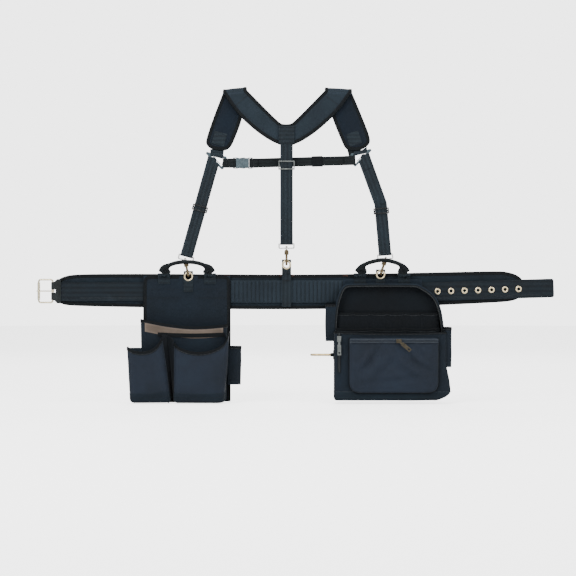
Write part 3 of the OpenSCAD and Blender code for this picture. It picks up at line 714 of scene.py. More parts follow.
def stitch(body, path, colour="grey_thread", pitch=STITCH, thick=THREAD, length=0.68):
    """A row of lockstitches along [(point, normal), ...]."""
    if len(path) < 2:
        return
    verts, faces = SEWING.setdefault((body, colour), ([], []))
    path = [(Vector(p), Vector(n)) for p, n in path]
    points = spaced([p for p, n in path], pitch)
    rows = [p for p, n in path]
    k = 0
    for a, b in zip(points, points[1:]):
        t = b - a
        if t.length < 1e-6:
            continue
        while k < len(rows) - 1 and (rows[k] - a).length > (rows[k + 1] - a).length:
            k += 1
        n = path[k][1].normalized()
        side = t.cross(n).normalized()
        base = len(verts)
        mid = (a + b) / 2 + n * 0.12
        h = t * (length / 2)
        verts += [mid - h - n * 0.2, mid + h - n * 0.2]
        for f in (-0.55, 0.55):
            verts += [mid + h * f + side * (thick / 2), mid + h * f + n * thick * 0.55,
                      mid + h * f - side * (thick / 2), mid + h * f - n * thick * 0.3]
        for i in range(4):
            j = (i + 1) % 4
            faces += [(base, base + 2 + i, base + 2 + j),
                      (base + 2 + i, base + 6 + i, base + 6 + j, base + 2 + j),
                      (base + 1, base + 6 + j, base + 6 + i)]


def tack(body, p, q, normal, width=5.0, colour="dark_thread", step=0.9):
    """A bar tack: close zigzag stitches from p to q."""
    p, q, normal = Vector(p), Vector(q), Vector(normal).normalized()
    t = (q - p).normalized()
    side = t.cross(normal).normalized() * (width / 2)
    count = max(2, int((q - p).length / step))
    for i in range(count):
        a = p.lerp(q, i / count) - side
        b = p.lerp(q, (i + 0.6) / count) + side
        stitch(body, [(a, normal), (b, normal)], colour, (b - a).length, 0.7, 1.0)


def bound(name, path, outs, ups, inner, lap, mat="bind", closed=False, body=None, thick=TAPE,
          colour="grey_thread"):
    """Binding folded over an edge of cloth inner thick: outs point off the edge, ups to its outer face."""
    h, w, e = inner / 2, lap, thick
    section = [(-w, h + e * 0.55), (-w * 0.5, h + e), (0.2, h + e * 0.95), (e + 0.5, h * 0.55), (e + 0.8, 0),
               (e + 0.5, -h * 0.55), (0.2, -h - e * 0.95), (-w * 0.5, -h - e), (-w, -h - e * 0.55),
               (-w, -h - 0.05), (-0.4, -h * 0.9), (-0.2, 0), (-0.4, h * 0.9), (-w, h + 0.05)]
    obj = sweep(name, path, outs, ups, section, mat, closed)
    if body:
        line = [(Vector(p) - o * (w - 2.0) + u * (h + e * 0.8), u) for p, o, u in zip(path, outs, ups)]
        stitch(body, line + (line[:1] if closed else []), colour)
    return obj


def lathe(name, profile, centre, axis, mat, segments=48):
    """A profile of (radius, height) turned about an axis through a centre."""
    axis = Vector(axis).normalized()
    a = axis.orthogonal().normalized()
    b = axis.cross(a)
    rows = [[Vector(centre) + axis * h + (a * math.cos(s) + b * math.sin(s)) * r for s in ring_of(segments)]
            for r, h in profile]
    verts, faces = grid(rows, close_rows=True, close_cols=True)
    return face_outward(object_of(name, verts, faces, mat))


def eyelet(name, centre, front, back, hole, rim, mat="brass"):
    """A rolled eyelet: a domed flange in front, a barrel, and a flatter washer behind."""
    x, z = centre
    w = rim - hole
    flange = [(hole + w * 0.12, front - 0.5), (hole + w * 0.38, front - 1.15),
              (hole + w * 0.68, front - 0.95),
              (rim - 0.5, front - 0.25), (rim, front + 0.45), (hole + 1.3, front + 0.5)]
    washer = [(hole + 1.3, back - 0.5), (rim, back - 0.45), (rim - 0.4, back + 0.3),
              (hole + w * 0.4, back + 0.95)]
    profile = [(hole, back + 0.8), (hole, front + 0.9)] + flange + washer
    return lathe(name, [(r, -y) for r, y in profile], (x, 0, z), FORWARD, mat, 56)


# ---------------------------------------------------------------- lumbar pad and belt

def ease(x, low, high):
    t = np.clip((np.asarray(x, float) - low) / (high - low), 0, 1)
    return t * t * (3 - 2 * t)


def second_skin(obj, mat, where):
    """Gives the faces picked by where(centre, normal) another material."""
    obj.data.materials.append(MATS[mat])
    k = len(obj.data.materials) - 1
    for p in obj.data.polygons:
        if where(p.center, p.normal):
            p.material_index = k


pad_rim = outlines("pad_cover", -PAD_T)[0]
WEB = node_box("web_belt")


def pad_middle(x):
    """Height of the pad's long axis, which rises towards the belt's free end."""
    return 3 + 0.014 * np.maximum(x - 300, 0)


def web_rise(x):
    """How far the belt webbing has risen at x."""
    return max(0, x - 385) * 0.0297


def build_pad():
    pad = copy_of("pad_cover", "pad", part=lambda pts: max(p.y for p in pts) > -0.5)
    modify(pad, ("REMESH", {"mode": "VOXEL", "voxel_size": 4.6}),
           ("SMOOTH", {"factor": 0.5, "iterations": 2}))
    co, n = coords(pad), normals(pad)
    rim = edge_distance(co, [pad_rim])
    middle = pad_middle(co[:, 0])
    channel = np.abs(np.abs(co[:, 2] - middle) - 17) < 2.6
    back = n[:, 1] > 0.5
    cap = np.where(back, 2.6, 0.3 + 2.4 * ease(np.abs(co[:, 2] - middle), 33, 40))
    inflate(pad, (rim < 9.5) | (back & channel), cap, 5.0)
    ripple(pad, 0.35, 0.02, 3.0)
    second_skin(pad, "lining", lambda c, n: n.y > 0.6)
    top = Surface(pad)
    for side in (-1, 1):
        line = [(x, 0, pad_middle(x) + side * 17) for x in range(-606, 626, 6)]
        stitch("belt", top.drape(line, 400.0, -1.0), "dark_thread", 4.0, 0.9)
    # painted shadow: a row of dark stitches on the pad along the webbing's upper edge, laid to paint the shadow
    # line between the pad strip and the web
    for near in (-1, 1):
        line = [(x, 0, WEB[0].z + 60.2 + web_rise(x)) for x in range(-596, 600, 6) if x * near > 166]
        stitch_parts("belt", top, line, "dark_thread")
    piece(pad, "lumbar_pad", "belt", ("pad_cover", "pad_foam", "pad_binding"), 60)

    path = spaced(smooth_path([(p.x, -PAD_T / 2, p.z) for p in pad_rim], True, 2), 7, True)
    outs, ups = flat_frames(path, True)
    edge = bound("pad_edge_binding", path, outs, ups, PAD_T + 0.2, 8.0, closed=True, body="belt",
                 colour="dark_thread")
    stitch("belt", [(p - o * 6.2 - FORWARD * 7.1, -FORWARD) for p, o in zip(path, outs)], "dark_thread")
    piece(edge, "pad_edge_binding", "belt")


def build_rib_sleeve():
    low, high = node_box("rib_sleeve")
    half, pitch, front = high.x, 11.2, -17.6
    rows = []
    edge = [(low.z, -12.3, 0), (low.z - 0.4, -15, 0), (low.z + 0.1, -17.2, 0), (low.z + 1.0, -17.5, 0.35)]
    body = [(z, front, 1) for z in np.linspace(low.z + 2.4, high.z - 2.4, 12)]
    top = [(high.z - (z - low.z), y, w) for z, y, w in edge[::-1]]
    for z, y, w in edge + body + top:
        rows.append([(x, y - w * 1.75 * (0.5 + 0.5 * math.cos(2 * math.pi * x / pitch)) ** 0.55, z)
                     for x in np.linspace(-half, half, 232)])
    verts, faces = grid(rows, flip=True)
    sleeve = object_of("rib_sleeve", verts, faces, "yoke")
    weave_of(sleeve, [(v[2], v[0]) for v in verts])
    face_front(sleeve)
    seal(sleeve, 0.9)
    # painted shade in the grooves: a thick, nearly unbroken dark thread along each groove stands for the
    # channel stitching and also fills the groove with dark
    for k in range(-14, 14):
        x = (k + 0.5) * pitch
        groove = [((x, -17.7, z), FORWARD) for z in np.linspace(-27, 29, 18)]
        stitch("belt", groove, "dark_thread", 3.3, 2.2, 0.95)
    piece(sleeve, "ribbed_sleeve", "belt", "rib_sleeve", 50)
    for side in (-1, 1):
        x = side * (half - 1.5)
        for z in (low.z + 3.5, high.z - 3.5):
            tack("belt", (x, -18.8, z - 2.5), (x, -18.8, z + 2.5), FORWARD, 3.2)
    for x in (-half, -13.5, 13.5, half):
        tack("belt", (x - 7, -13.3, 44.2), (x + 7, -13.3, 44.2), FORWARD, 2.4, "rust_thread", 1.0)


def face_front(obj):
    """Turns a sheet's normals so that its front faces the front."""
    co, n = coords(obj), normals(obj)
    front = co[:, 1] < np.percentile(co[:, 1], 30) + 1e-6
    if n[front, 1].mean() > 0:
        obj.data.flip_normals()
    return obj


def ringed(name, node, front, back, hole, rim, body, face=None):
    """Turned eyelets in place of a CAD node's, one for each of its shells."""
    flange = [v.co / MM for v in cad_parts[node].data.vertices]
    centres = []
    for v in sorted(flange, key=lambda v: v.x):
        if not centres or v.x - centres[-1][0] > 2 * rim + 2:
            centres.append([v.x, []])
        centres[-1][1].append(v)
    made = []
    for i, (_, pts) in enumerate(centres):
        x = (min(p.x for p in pts) + max(p.x for p in pts)) / 2
        z = (min(p.z for p in pts) + max(p.z for p in pts)) / 2
        here = front
        if face:
            seen = [face.front(x + r * math.cos(a), z + r * math.sin(a))[0]
                    for r in (rim, 0.6 * rim) for a in np.arange(0, 6.2, 0.5)]
            here = min([front] + [p.y - 0.1 for p in seen if p])
        made.append(eyelet(f"{name}_{i}", (x, z), here, back, hole, rim))
    return piece(join(name, made), name, body, node, 50)


def box_stitch(body, x0, x1, z0, z1, y, cross=True):
    """A sewn box, with a cross in it where the load is."""
    a, b, c, d = [(Vector((x, y, z)), FORWARD) for x, z in ((x0, z0), (x1, z0), (x1, z1), (x0, z1))]
    for p, q in [(a, b), (b, c), (c, d), (d, a)] + ([(a, c), (d, b)] if cross else []):
        stitch(body, [p, q], "dark_thread", 2.8, 0.8)


def build_belt():
    build_pad()
    build_rib_sleeve()
    strap = soft_copy("web_belt", "belt", 12.0, 0.7, 0.25)
    face = Surface(strap)
    ringed("belt_eyelets", "belt_grommets", WEB[0].y + 0.1, WEB[1].y, 4.0, 8.6, "belt", face)
    for z in (WEB[0].z + 6.5, WEB[0].z + 9.5):
        line = [(x, face.depth(x, z + web_rise(x), WEB[0].y) - 0.1, z + web_rise(x)) for x in np.arange(-560,
                                                                                                        700,
                                                                                                        7.0)]
        for near in (-1, 1):
            stitch("belt", [(p, FORWARD) for p in line if p[0] * near > 166], "mid_thread", 3.4, 0.9, 0.97)
    piece(strap, "web_belt_strap", "belt", "web_belt")
    piece(soft_copy("centre_tab", "web", 6.0, 0.5, 0.2), "centre_tab_web", "belt", "centre_tab")
    low, high = node_box("centre_tab")
    box_stitch("belt", -9.5, 9.5, -36, -31, low.y + 1.9, cross=False)
    box_stitch("belt", -9.5, 9.5, 50, 57, low.y - 0.1)
    tack("belt", (-9, low.y + 1.8, 31), (9, low.y + 1.8, 31), FORWARD, 3)
    low, high = node_box("centre_grommet")
    ringed("centre_eyelet", "centre_grommet", low.y + 0.8, high.y - 0.8, 7.5, 12.8, "belt")
    chape = soft_copy("buckle_chape", "hide", 4.0, 0.5, 0.03, axes="z")
    piece(chape, "buckle_chape_hide", "belt", "buckle_chape")
    low, high = node_box("buckle_chape")
    for x in (-614, -618.5):
        row = [((x, low.y - 0.1 + 0.02 * (x + 614), z), FORWARD) for z in np.linspace(-26, 31, 18)]
        stitch("belt", row, "dark_thread", 3.2, 0.8)
    for name in ("buckle_frame", "buckle_roller", "buckle_prong"):
        dress(name, "buckle")


def dress(node, mat):
    """A CAD node whose shape is right keeps it, and takes a better material."""
    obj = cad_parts[node]
    while len(obj.data.materials) < 1:
        obj.data.materials.append(None)
    for slot in obj.material_slots:
        slot.material = MATS[mat]
    for p in obj.data.polygons:
        p.use_smooth = True
    obj.data.set_sharp_from_angle(angle=math.radians(32))


# ---------------------------------------------------------------- yoke

def corners(loop, near=8.0):
    """An outline's own corners: of points closer together than this, only the highest is kept."""
    out = []
    for p in loop:
        if out and (p - out[-1]).length < near:
            out[-1] = max(out[-1], p, key=lambda v: v.z)
        else:
            out.append(p)
    if (out[0] - out[-1]).length < near:
        out[0] = max(out[0], out.pop(), key=lambda v: v.z)
    return out


def fold_last(loop):
    """Turns an outline so that it starts and ends at its highest edge, where the yoke folds over."""
    k = max(range(len(loop)), key=lambda i: loop[i].z + loop[(i + 1) % len(loop)].z)
    return loop[k + 1:] + loop[:k + 1]


def chain(points, y, step=6.0):
    return [Vector((p.x, y, p.z)) for p in spaced(smooth_path([(p.x, 0, p.z) for p in points], False, 2),
                                                  step)]


def build_yoke():
    low, high = node_box("yoke_cover")
    back_y, front_y = low.y, high.y
    thick = 8.1
    axis_y = (back_y + front_y) / 2
    back_mid, front_mid = back_y + thick / 2, front_y - thick / 2
    back_loop = corners(outlines("yoke_cover", back_y)[0])
    fronts = [fold_last(corners(p)) for p in sorted(outlines("yoke_cover", front_y)[:2],
                                                    key=lambda p: p[0].x)]

    pads = []
    for k, (loop, y0) in enumerate([(back_loop, back_y), (fronts[0], front_y - thick),
                                    (fronts[1], front_y - thick)]):
        pad = prism(f"yoke_pad_{k}", loop, y0, y0 + thick, "yoke" if k == 0 else "navy")
        modify(pad, ("REMESH", {"mode": "VOXEL", "voxel_size": 3.6}),
               ("SMOOTH", {"factor": 0.5, "iterations": 2}))
        co, n = coords(pad), normals(pad)
        rim = edge_distance(co, [loop])
        facing = n[:, 1] < 0
        if k == 0:
            cap = np.where(facing, 4.0, 0.3)
        else:
            clear = 1 - ease(co[:, 2], 445, 492)
            cap = np.where(facing, 3.6 * clear + 0.2, 3.6)
            groove = edge_distance(co, [inset(loop, 13)]) < 2.2
            cap = cap * np.where(groove, 0.15, 1.0)
        inflate(pad, (rim < 8.5) | (co[:, 2] > 534), cap, 5.0)
        ripple(pad, 0.5, 0.018, 11.0 + k)
        pads.append(pad)

    straps = []
    for k, (a, b) in enumerate([(fronts[0][0], fronts[0][-1]), (fronts[1][-1], fronts[1][0])]):
        a, b = Vector((a.x, axis_y, a.z)), Vector((b.x, axis_y, b.z))
        u = (b - a).normalized()
        up = Vector((-u.z, 0, u.x)) * math.copysign(1, u.x)
        r_out, r_in = 8.8, 0.7
        arc = [math.pi * s / 14 for s in range(15)]
        section = [(-r_out, -7)] + [(-r_out * math.cos(s), r_out * math.sin(s)) for s in arc] + [(r_out, -7)]
        section += [(r_in, -7)] + [(r_in * math.cos(s), r_in * math.sin(s)) for s in arc[::3]] + [(-r_in, -7)]
        count = 14
        path = [a.lerp(b, s / count) for s in range(count + 1)]
        straps.append(sweep(f"yoke_fold_{k}", path, [-FORWARD] * len(path), [up] * len(path), section, "yoke",
                            scale=lambda t: (1, 0.97 + 0.10 * math.sin(math.pi * t))))
    yoke = join("yoke_pads", pads + straps)
    skin = Surface(yoke)

    for loop in fronts:
        ring = spaced(smooth_path([(p.x, 0, p.z) for p in inset(loop, 13)], True, 2), 4, True)
        stitch("belt", skin.drape(ring, 400.0, -1.0), "dark_thread")
        seen = [p for p in ring if p[2] < 480 or not inside(p, back_loop)]
        stitch_parts("belt", skin, seen, "dark_thread")
    ring = spaced(smooth_path([(p.x, 0, p.z) for p in inset(back_loop, 12)], True, 2), 4, True)
    stitch_parts("belt", skin, [p for p in ring if p[2] < 532], "dark_thread")
    # the sewn square over each strap's end, and the painted shade below each shoulder fold: three close rows of
    # dark stitches that make a dark band
    for x, z, turn in ((-184, 412, 15), (185, 412, -18)):
        ca, sa = math.cos(math.radians(turn)), math.sin(math.radians(turn))
        place = [(x + u * ca + w * sa, 0, z - u * sa + w * ca) for u, w in
                 ((-16, -16), (16, -16), (16, 16), (-16, 16), (-16, -16), (16, 16), (16, -16), (-16, 16))]
        for p, q in zip(place, place[1:]):
            stitch_parts("belt", skin, [Vector(p).lerp(q, f) for f in np.linspace(0, 1, 9)], "dark_thread")
    # painted fold shade: three close rows of dark stitches along each shoulder's fold make one dark band
    for p, q in (((-141, 0, 501), (-103, 0, 535)), ((106, 0, 531), (138, 0, 507))):
        for shift in (-1.5, 0.0, 1.5):
            stitch_parts("belt", skin, [(p[0] + (q[0] - p[0]) * f, 0, p[2] + (q[2] - p[2]) * f + shift)
                                        for f in np.linspace(0, 1, 12)], "dark_thread")
    piece(yoke, "yoke_padding", "belt", ("yoke_cover", "yoke_foam", "yoke_binding"), 60)

    # one length of tape runs all the way round: outer edge, each shoulder, each front pad, and the neck
    left_out = min(back_loop, key=lambda p: p.x + (0 if p.z > 530 else 999))
    order = turned(back_loop, left_out)
    right_out = max(range(len(order)), key=lambda i: order[i].x - (0 if order[i].z > 530 else 999))
    outer = order[:right_out + 1]
    neck = order[right_out + 1:]
    legs = [(chain(outer, back_mid), -1, None),
            (arc_over(outer[-1], back_mid, front_mid, axis_y), 0, outer[-1]),
            (chain(fronts[1][::-1], front_mid), 1, None),
            (arc_over(neck[0], front_mid, back_mid, axis_y), 0, neck[0]),
            (chain(neck, back_mid), -1, None),
            (arc_over(neck[-1], back_mid, front_mid, axis_y), 0, neck[-1]),
            (chain(fronts[0][::-1], front_mid), 1, None),
            (arc_over(outer[0], front_mid, back_mid, axis_y), 0, outer[0])]
    path, ups = [], []
    for points, way, hub in legs:
        for p in points:
            if path and (p - path[-1]).length < 0.5:
                continue
            path.append(p)
            if hub is None:
                ups.append(Vector((0, way, 0)))
            else:
                ups.append((p - Vector((hub.x, axis_y, hub.z))).normalized())
    if (path[0] - path[-1]).length < 0.5:
        path.pop()
        ups.pop()
    outs = []
    for k in range(len(path)):
        t = (path[(k + 1) % len(path)] - path[k - 1]).normalized()
        outs.append(t.cross(ups[k]).normalized())
    edge = bound("yoke_edge_binding", path, outs, ups, thick + 0.3, 8.0, closed=True, body="belt", thick=0.8,
                 colour="dark_thread")
    piece(edge, "yoke_edge_binding", "belt")


def arc_over(hub, y_from, y_to, axis_y, steps=7):
    r = abs(y_from - axis_y)
    sign = 1 if y_to > y_from else -1
    return [Vector((hub.x, axis_y - sign * r * math.cos(math.pi * s / steps),
                    hub.z + r * math.sin(math.pi * s / steps)))
            for s in range(steps + 1)]


def turned(loop, start):
    k = loop.index(start)
    return loop[k:] + loop[:k]


def inside(p, loop):
    """True if a point lies within an outline."""
    hit = False
    for a, b in zip(loop, loop[1:] + loop[:1]):
        if (a.z > p[2]) != (b.z > p[2]) and p[0] < a.x + (b.x - a.x) * (p[2] - a.z) / (b.z - a.z):
            hit = not hit
    return hit


def inset(loop, d):
    """An outline moved inward by d, points counterclockwise."""
    out = []
    for k, p in enumerate(loop):
        a, b = loop[k - 1], loop[(k + 1) % len(loop)]
        u = Vector((p[0] - a[0], 0, p[2] - a[2])).normalized()
        v = Vector((b[0] - p[0], 0, b[2] - p[2])).normalized()
        n, m = Vector((-u.z, 0, u.x)), Vector((-v.z, 0, v.x))
        out.append(Vector(p) + (n + m) * (d / max(0.35, 1 + n.dot(m))))
    return out


def stitch_parts(body, skin, path, colour, gap=14.0, start=-400.0, way=1.0):
    """Stitches laid on a surface, broken where the path jumps."""
    run = []
    for p, n in skin.drape(path, start, way):
        if run and (p - run[-1][0]).length > gap:
            stitch(body, run, colour)
            run = []
        run.append((p, n))
    stitch(body, run, colour)


# ---------------------------------------------------------------- straps and hardware

def build_straps():
    for name, body, splits in [("yoke_webs", "belt", ()), ("back_strap", "belt", ()),
                               ("left_strap", "left_strap", ()), ("right_strap", "right_strap", (245.0,)),
                               ("chest_web_left", "belt", ()), ("chest_web_right", "belt", ()),
                               ("left_panel_webs", "left_pouch", ()),
                               ("right_panel_webs", "right_pouch", (0.0,))]:
        strap = soft_copy(name, "chest" if "chest" in name else "web", 9.0, 0.55, 0.3, splits)
        piece(strap, name + "_sewn", body, name)
    elastic = soft_copy("chest_keeper", "bind", 5.0, 0.5, 0.15)
    piece(elastic, "chest_keeper_elastic", "chest_keeper", "chest_keeper")
    mid = build_clip()
    piece(cast_copy("shoulder_rings", "clip", 0.62, 3), "shoulder_rings_moulded", "belt",
          "shoulder_rings", 60)
    for name in ("chest_latch_upper", "chest_latch_lower"):
        arm = cast_copy(name, "black", 0.5, 3)
        set_coords(arm, coords(arm) - 0.35 * normals(arm))
        piece(arm, name + "_moulded", name, name, 60)
    # each tab runs on from under its front pad to the ring's loop
    tabs = [prism("yoke_tab", [(x, 0, z) for x, z in pts], -7.6, -5.4, "chest") for pts in
            (((-204, 372), (-172, 368), (-168, 398), (-200, 402)),
             ((170, 366), (204, 376), (196, 404), (162, 396)))]
    for tab in tabs:
        cut_up(tab, 8.0)
        round_edges(tab, 0.5)
        strap_weave(tab)
    piece(join("yoke_tabs", tabs), "yoke_tab_ends", "belt")
    # the chest webbing turns round a bar at each end of the clip
    oval = [(5.1 * math.cos(a), 3.9 * math.sin(a)) for a in ring_of(20)]
    turns = []
    for x in (-142.2, -96.4):
        bar = [Vector((x, -7, mid + w)) for w in np.linspace(-12.4, 12.4, 9)]
        turns.append(sweep("web_turn", bar, [RIGHT] * 9, [FORWARD] * 9, oval, "chest"))
    piece(join("chest_web_turns", turns), "chest_web_turns", "belt")
    for side in ("back", "left", "right"):
        hook, gate = f"{side}_hook", f"{side}_gate"
        piece(cast_copy(hook, "hook", 0.7, 5), hook + "_cast", hook, hook, 60)
        piece(cast_copy(gate, "nickel", 0.5, 3), gate + "_spring", gate, gate, 60)
        dress(f"{side}_hook_loop", "nickel")
    for name, mat, body, slot in [("back_slide", "silver", "back_slide", "slide_metal"),
                                  ("left_adjuster", "black", "left_adjuster", "slide_plastic"),
                                  ("right_adjuster", "black", "right_adjuster", "slide_plastic")]:
        piece(cast_copy(name, mat, 0.6, 4), name + "_moulded", body, name, 60)
    for side in ("left", "right"):
        node = f"{side}_grommet"
        low, high = node_box(node)
        ringed(f"{side}_eyelet", node, low.y + 0.8, high.y - 0.8, 7.9, 12.8, f"{side}_pouch")
    # load-bearing sewing
    low, high = node_box("back_strap")
    box_stitch("belt", -13, 13, low.z + 16, low.z + 38, -23.85)
    low, high = node_box("yoke_webs")
    box_stitch("belt", -17, 17, 406, 446, low.y - 0.1)
    for x, z0, z1 in ((-167, 340, 360), (-160, 340, 360), (165, 347, 368), (172, 347, 368)):
        tack("belt", (x, -10.85, z0), (x, -10.85, z1), FORWARD, 2.2)
    for body, feet, tab, z0, z1 in (("left_pouch", (-331, -207), -265.5, 6, 20),
                                    ("right_pouch", (198.5, 318.5), 254.3, 24, 31)):
        for x in feet:
            box_stitch(body, x - 13, x + 13, 25, 37, -23.5)
        box_stitch(body, tab - 9.5, tab + 9.5, z0, z1, -23.7)


def squared(value, power):
    """Bends a circle's cosine or sine towards a square's, keeping its sign."""
    return math.copysign(abs(value) ** power, value)


def build_clip():
    """The chest clip's two halves: a waist, a pressed cross, and the plug pushed home. Gives its height."""
    low, high = node_box("chest_socket")
    mid = (low.z + high.z) / 2
    for name in ("chest_socket", "chest_plug"):
        mould = cast_copy(name, "clip", 0.62, 3)
        co, n = coords(mould), normals(mould)
        u, v = (co[:, 0] + 125) / 12, (co[:, 2] - mid) / 15
        if name == "chest_socket":
            co[:, 1] += (n[:, 1] < -0.6) * 0.9 * np.exp(-((np.abs(u) - np.abs(v)) / 0.15) ** 2)
        else:
            co[:, 0] -= 1.0 * (co[:, 0] < -111.5)
        co[:, 2] = mid + (co[:, 2] - mid) * (1 - 0.13 * np.exp(-((co[:, 0] + 126) / 5.5) ** 2))
        set_coords(mould, co)
        piece(mould, name + "_moulded", "belt", name, 60)
    return mid


def build_handle(side, half_shape):
    """A carrying handle: a tube that is flattened and wide above each foot, on two pivot bars.

    half_shape holds its right half's corners, from the foot up, as distance from its middle and height."""
    low, high = node_box(f"{side}_handle")
    centre = (low.x + high.x) / 2
    hub = Vector((0, -26.6, 46))
    lean = math.radians(25)
    up, out = Vector((0, -math.sin(lean), math.cos(lean))), Vector((0, -math.cos(lean), -math.sin(lean)))
    shape = [(-x, 0, z) for x, z in half_shape] + [(x, 0, z) for x, z in half_shape[::-1]]
    path = spaced(smooth_path(shape, False, 3), 3.0)
    points = [Vector((centre + p.x, 0, 0)) + Vector((0, hub.y, hub.z)) + up * p.z for p in path]
    outs, total = [], len(points)
    for k in range(total):
        t = (points[min(k + 1, total - 1)] - points[max(k - 1, 0)]).normalized()
        outs.append(t.cross(out).normalized())
    section = [(5.4 * squared(math.cos(s), 0.8), 4.6 * squared(math.sin(s), 0.8)) for s in ring_of(18)]

    def flare(t):
        d = min(t, 1 - t) * total * 3.0
        w = 1.0 + 2.0 * float(ease(d, 4, 9)) * float(1 - ease(d, 11, 40)) ** 1.2
        return (w, 1.0 - 0.5 * float(ease(d, 2, 7)) * float(1 - ease(d, 12, 40)))
    tube = sweep(f"{side}_grip", points, outs, [out] * total, section, "chest", scale=flare)
    reach = half_shape[0][0]
    bars = []
    half = [(4.9, 5.2), (4.4, 6.2), (3, 6.4), (3, 16.4), (2.6, 17), (0.01, 17)]
    profile = [(r, -h) for r, h in half[::-1]] + half
    for way in (-1, 1):
        bar = lathe(f"{side}_bar", profile, (centre + way * reach, hub.y, hub.z), (1, 0, 0), "web", 28)
        weave_of(bar, [(v.co.z, v.co.x) for v in bar.data.vertices])
        bars.append(bar)
    body = f"{side}_handle"
    seam = [(p - o * 5.1, -o) for p, o in zip(points[9:-9], outs[9:-9])]
    stitch(body, seam, "dark_thread", 4.0)
    for first, last in ((3, 8), (-4, -9)):
        tack(body, points[first] + out * 3.0, points[last] + out * 2.8, out, 15, step=1.3)
    piece(join(body, [tube] + bars), f"{side}_carry_handle", body, body, 50)


# ---------------------------------------------------------------- pockets

def curve(points):
    """A smooth height along x through a few points."""
    pts = sorted((p.x, p.z) for p in smooth_path([(x, 0, z) for x, z in points], False, 3))
    xs, zs = [p[0] for p in pts], [p[1] for p in pts]
    return lambda x: float(np.interp(x, xs, zs))


def pocket(name, mat, left, right, y_back, y_front, z_low, mouth, r_left, r_right, rows=24, across=30,
           foot=9.0,
           swell=5.0, pressure=3.0):
    """A pocket's outer cloth: from its bottom seam round the foot and up its walls to a curved mouth.

    left, right and the corner radii are functions of height, from 0 at the foot to 1 at the mouth."""
    wall = [0.0, 0.006, 0.018, 0.036, 0.06] + list(np.linspace(0.1, 1.0, rows))
    height = mouth((left(1) + right(1)) / 2) - z_low
    quarter = [math.pi / 2 * i / 6 for i in range(7)]
    grid_rows = []
    for out, t in [(f, 0.0) for f in (0.0, 0.3, 0.6, 0.85)] + [(None, t) for t in wall]:
        h = t * height
        inset_by = foot * (1 - math.sqrt(max(0.0, 1 - (1 - min(1.0, h / foot)) ** 2)))
        xl, xr, yf = left(t) + inset_by, right(t) - inset_by, y_front + inset_by
        rl, rr = min(r_left(t), y_back - yf - 1), min(r_right(t), y_back - yf - 1)
        pts = [(xl, y_back + (yf + rl - y_back) * i / 6) for i in range(6)]
        pts += [(xl + rl * (1 - math.cos(a)), yf + rl * (1 - math.sin(a))) for a in quarter[:6]]
        pts += [(xl + rl + (xr - rr - xl - rl) * i / across, yf) for i in range(across + 1)]
        pts += [(xr - rr * (1 - math.cos(a)), yf + rr * (1 - math.sin(a))) for a in quarter[5::-1]]
        pts += [(xr, yf + rr + (y_back - yf - rr) * i / 6) for i in range(1, 7)]
        if out is not None:
            pts = [(x, y_back + (y - y_back) * (0.02 + 0.98 * out)) for x, y in pts]
        grid_rows.append([(x, y, z_low + t * (mouth(x) - z_low)) for x, y in pts])
    verts, faces = grid(grid_rows)
    obj = face_front(object_of(name, verts, faces, mat))
    shape = (len(grid_rows), len(grid_rows[0]))
    pinned = np.zeros(shape, bool)
    pinned[:5] = pinned[-1] = pinned[:, :2] = pinned[:, -2:] = True
    inflate(obj, pinned.ravel(), swell, pressure)
    return obj, shape


def lattice_of(obj, shape):
    """Points and normals as rows and columns; a sealed pocket's outer points come first, in the same order."""
    count = shape[0] * shape[1]
    return coords(obj)[:count].reshape(*shape, 3), normals(obj)[:count].reshape(*shape, 3)


def mouth_tape(body, name, co, n, lap=8.5, thickness=CLOTH, facing_row=-2):
    """Binds a pocket's mouth along its last row of points."""
    path, outs, ups = [], [], []
    for i in range(co.shape[1]):
        p, q, m = Vector(co[-1, i]), Vector(co[-3, i]), Vector(n[facing_row, i])
        up = (p - q).normalized()
        face = (m - up * m.dot(up)).normalized()
        path.append(p - face * (thickness / 2))
        outs.append(up)
        ups.append(face)
    piece(bound(name, path, outs, ups, thickness, lap, body=body), name, body)


def overlay(name, obj, shape, rows, cols, lift, thick, mat):
    """A strip of tape sewn flat on a pocket, from its own lattice."""
    co, n = lattice_of(obj, shape)
    part = co[rows[0]:rows[1], cols[0]:cols[1]] + n[rows[0]:rows[1], cols[0]:cols[1]] * lift
    verts, faces = grid([list(map(tuple, row)) for row in part])
    strip = face_front(object_of(name, verts, faces, mat))
    weave_of(strip, [(v[0] - v[1], v[2]) for v in verts])
    return seal(strip, thick)


def lattice_stitch(body, obj, shape, rows, cols, colour, lift):
    """A row of stitches along one row or one column of a pocket's lattice."""
    co, n = lattice_of(obj, shape)
    run = [(Vector(co[j, i]) + Vector(n[j, i]) * lift, Vector(n[j, i])) for j in rows for i in cols]
    stitch(body, run, colour)


def sheet(name, rows, mat, thick):
    """A sheet of cloth from rows of points."""
    return seal(face_front(object_of(name, *grid(rows), mat)), thick)


def clockwise_path(points, y):
    """A smoothed edge walked clockwise as seen from the front, with its outward and facing directions."""
    path = spaced(smooth_path([(x, y, z) for x, z in points], False, 2), 6)
    outs, ups = flat_frames(path)
    return path, [-o for o in outs], ups


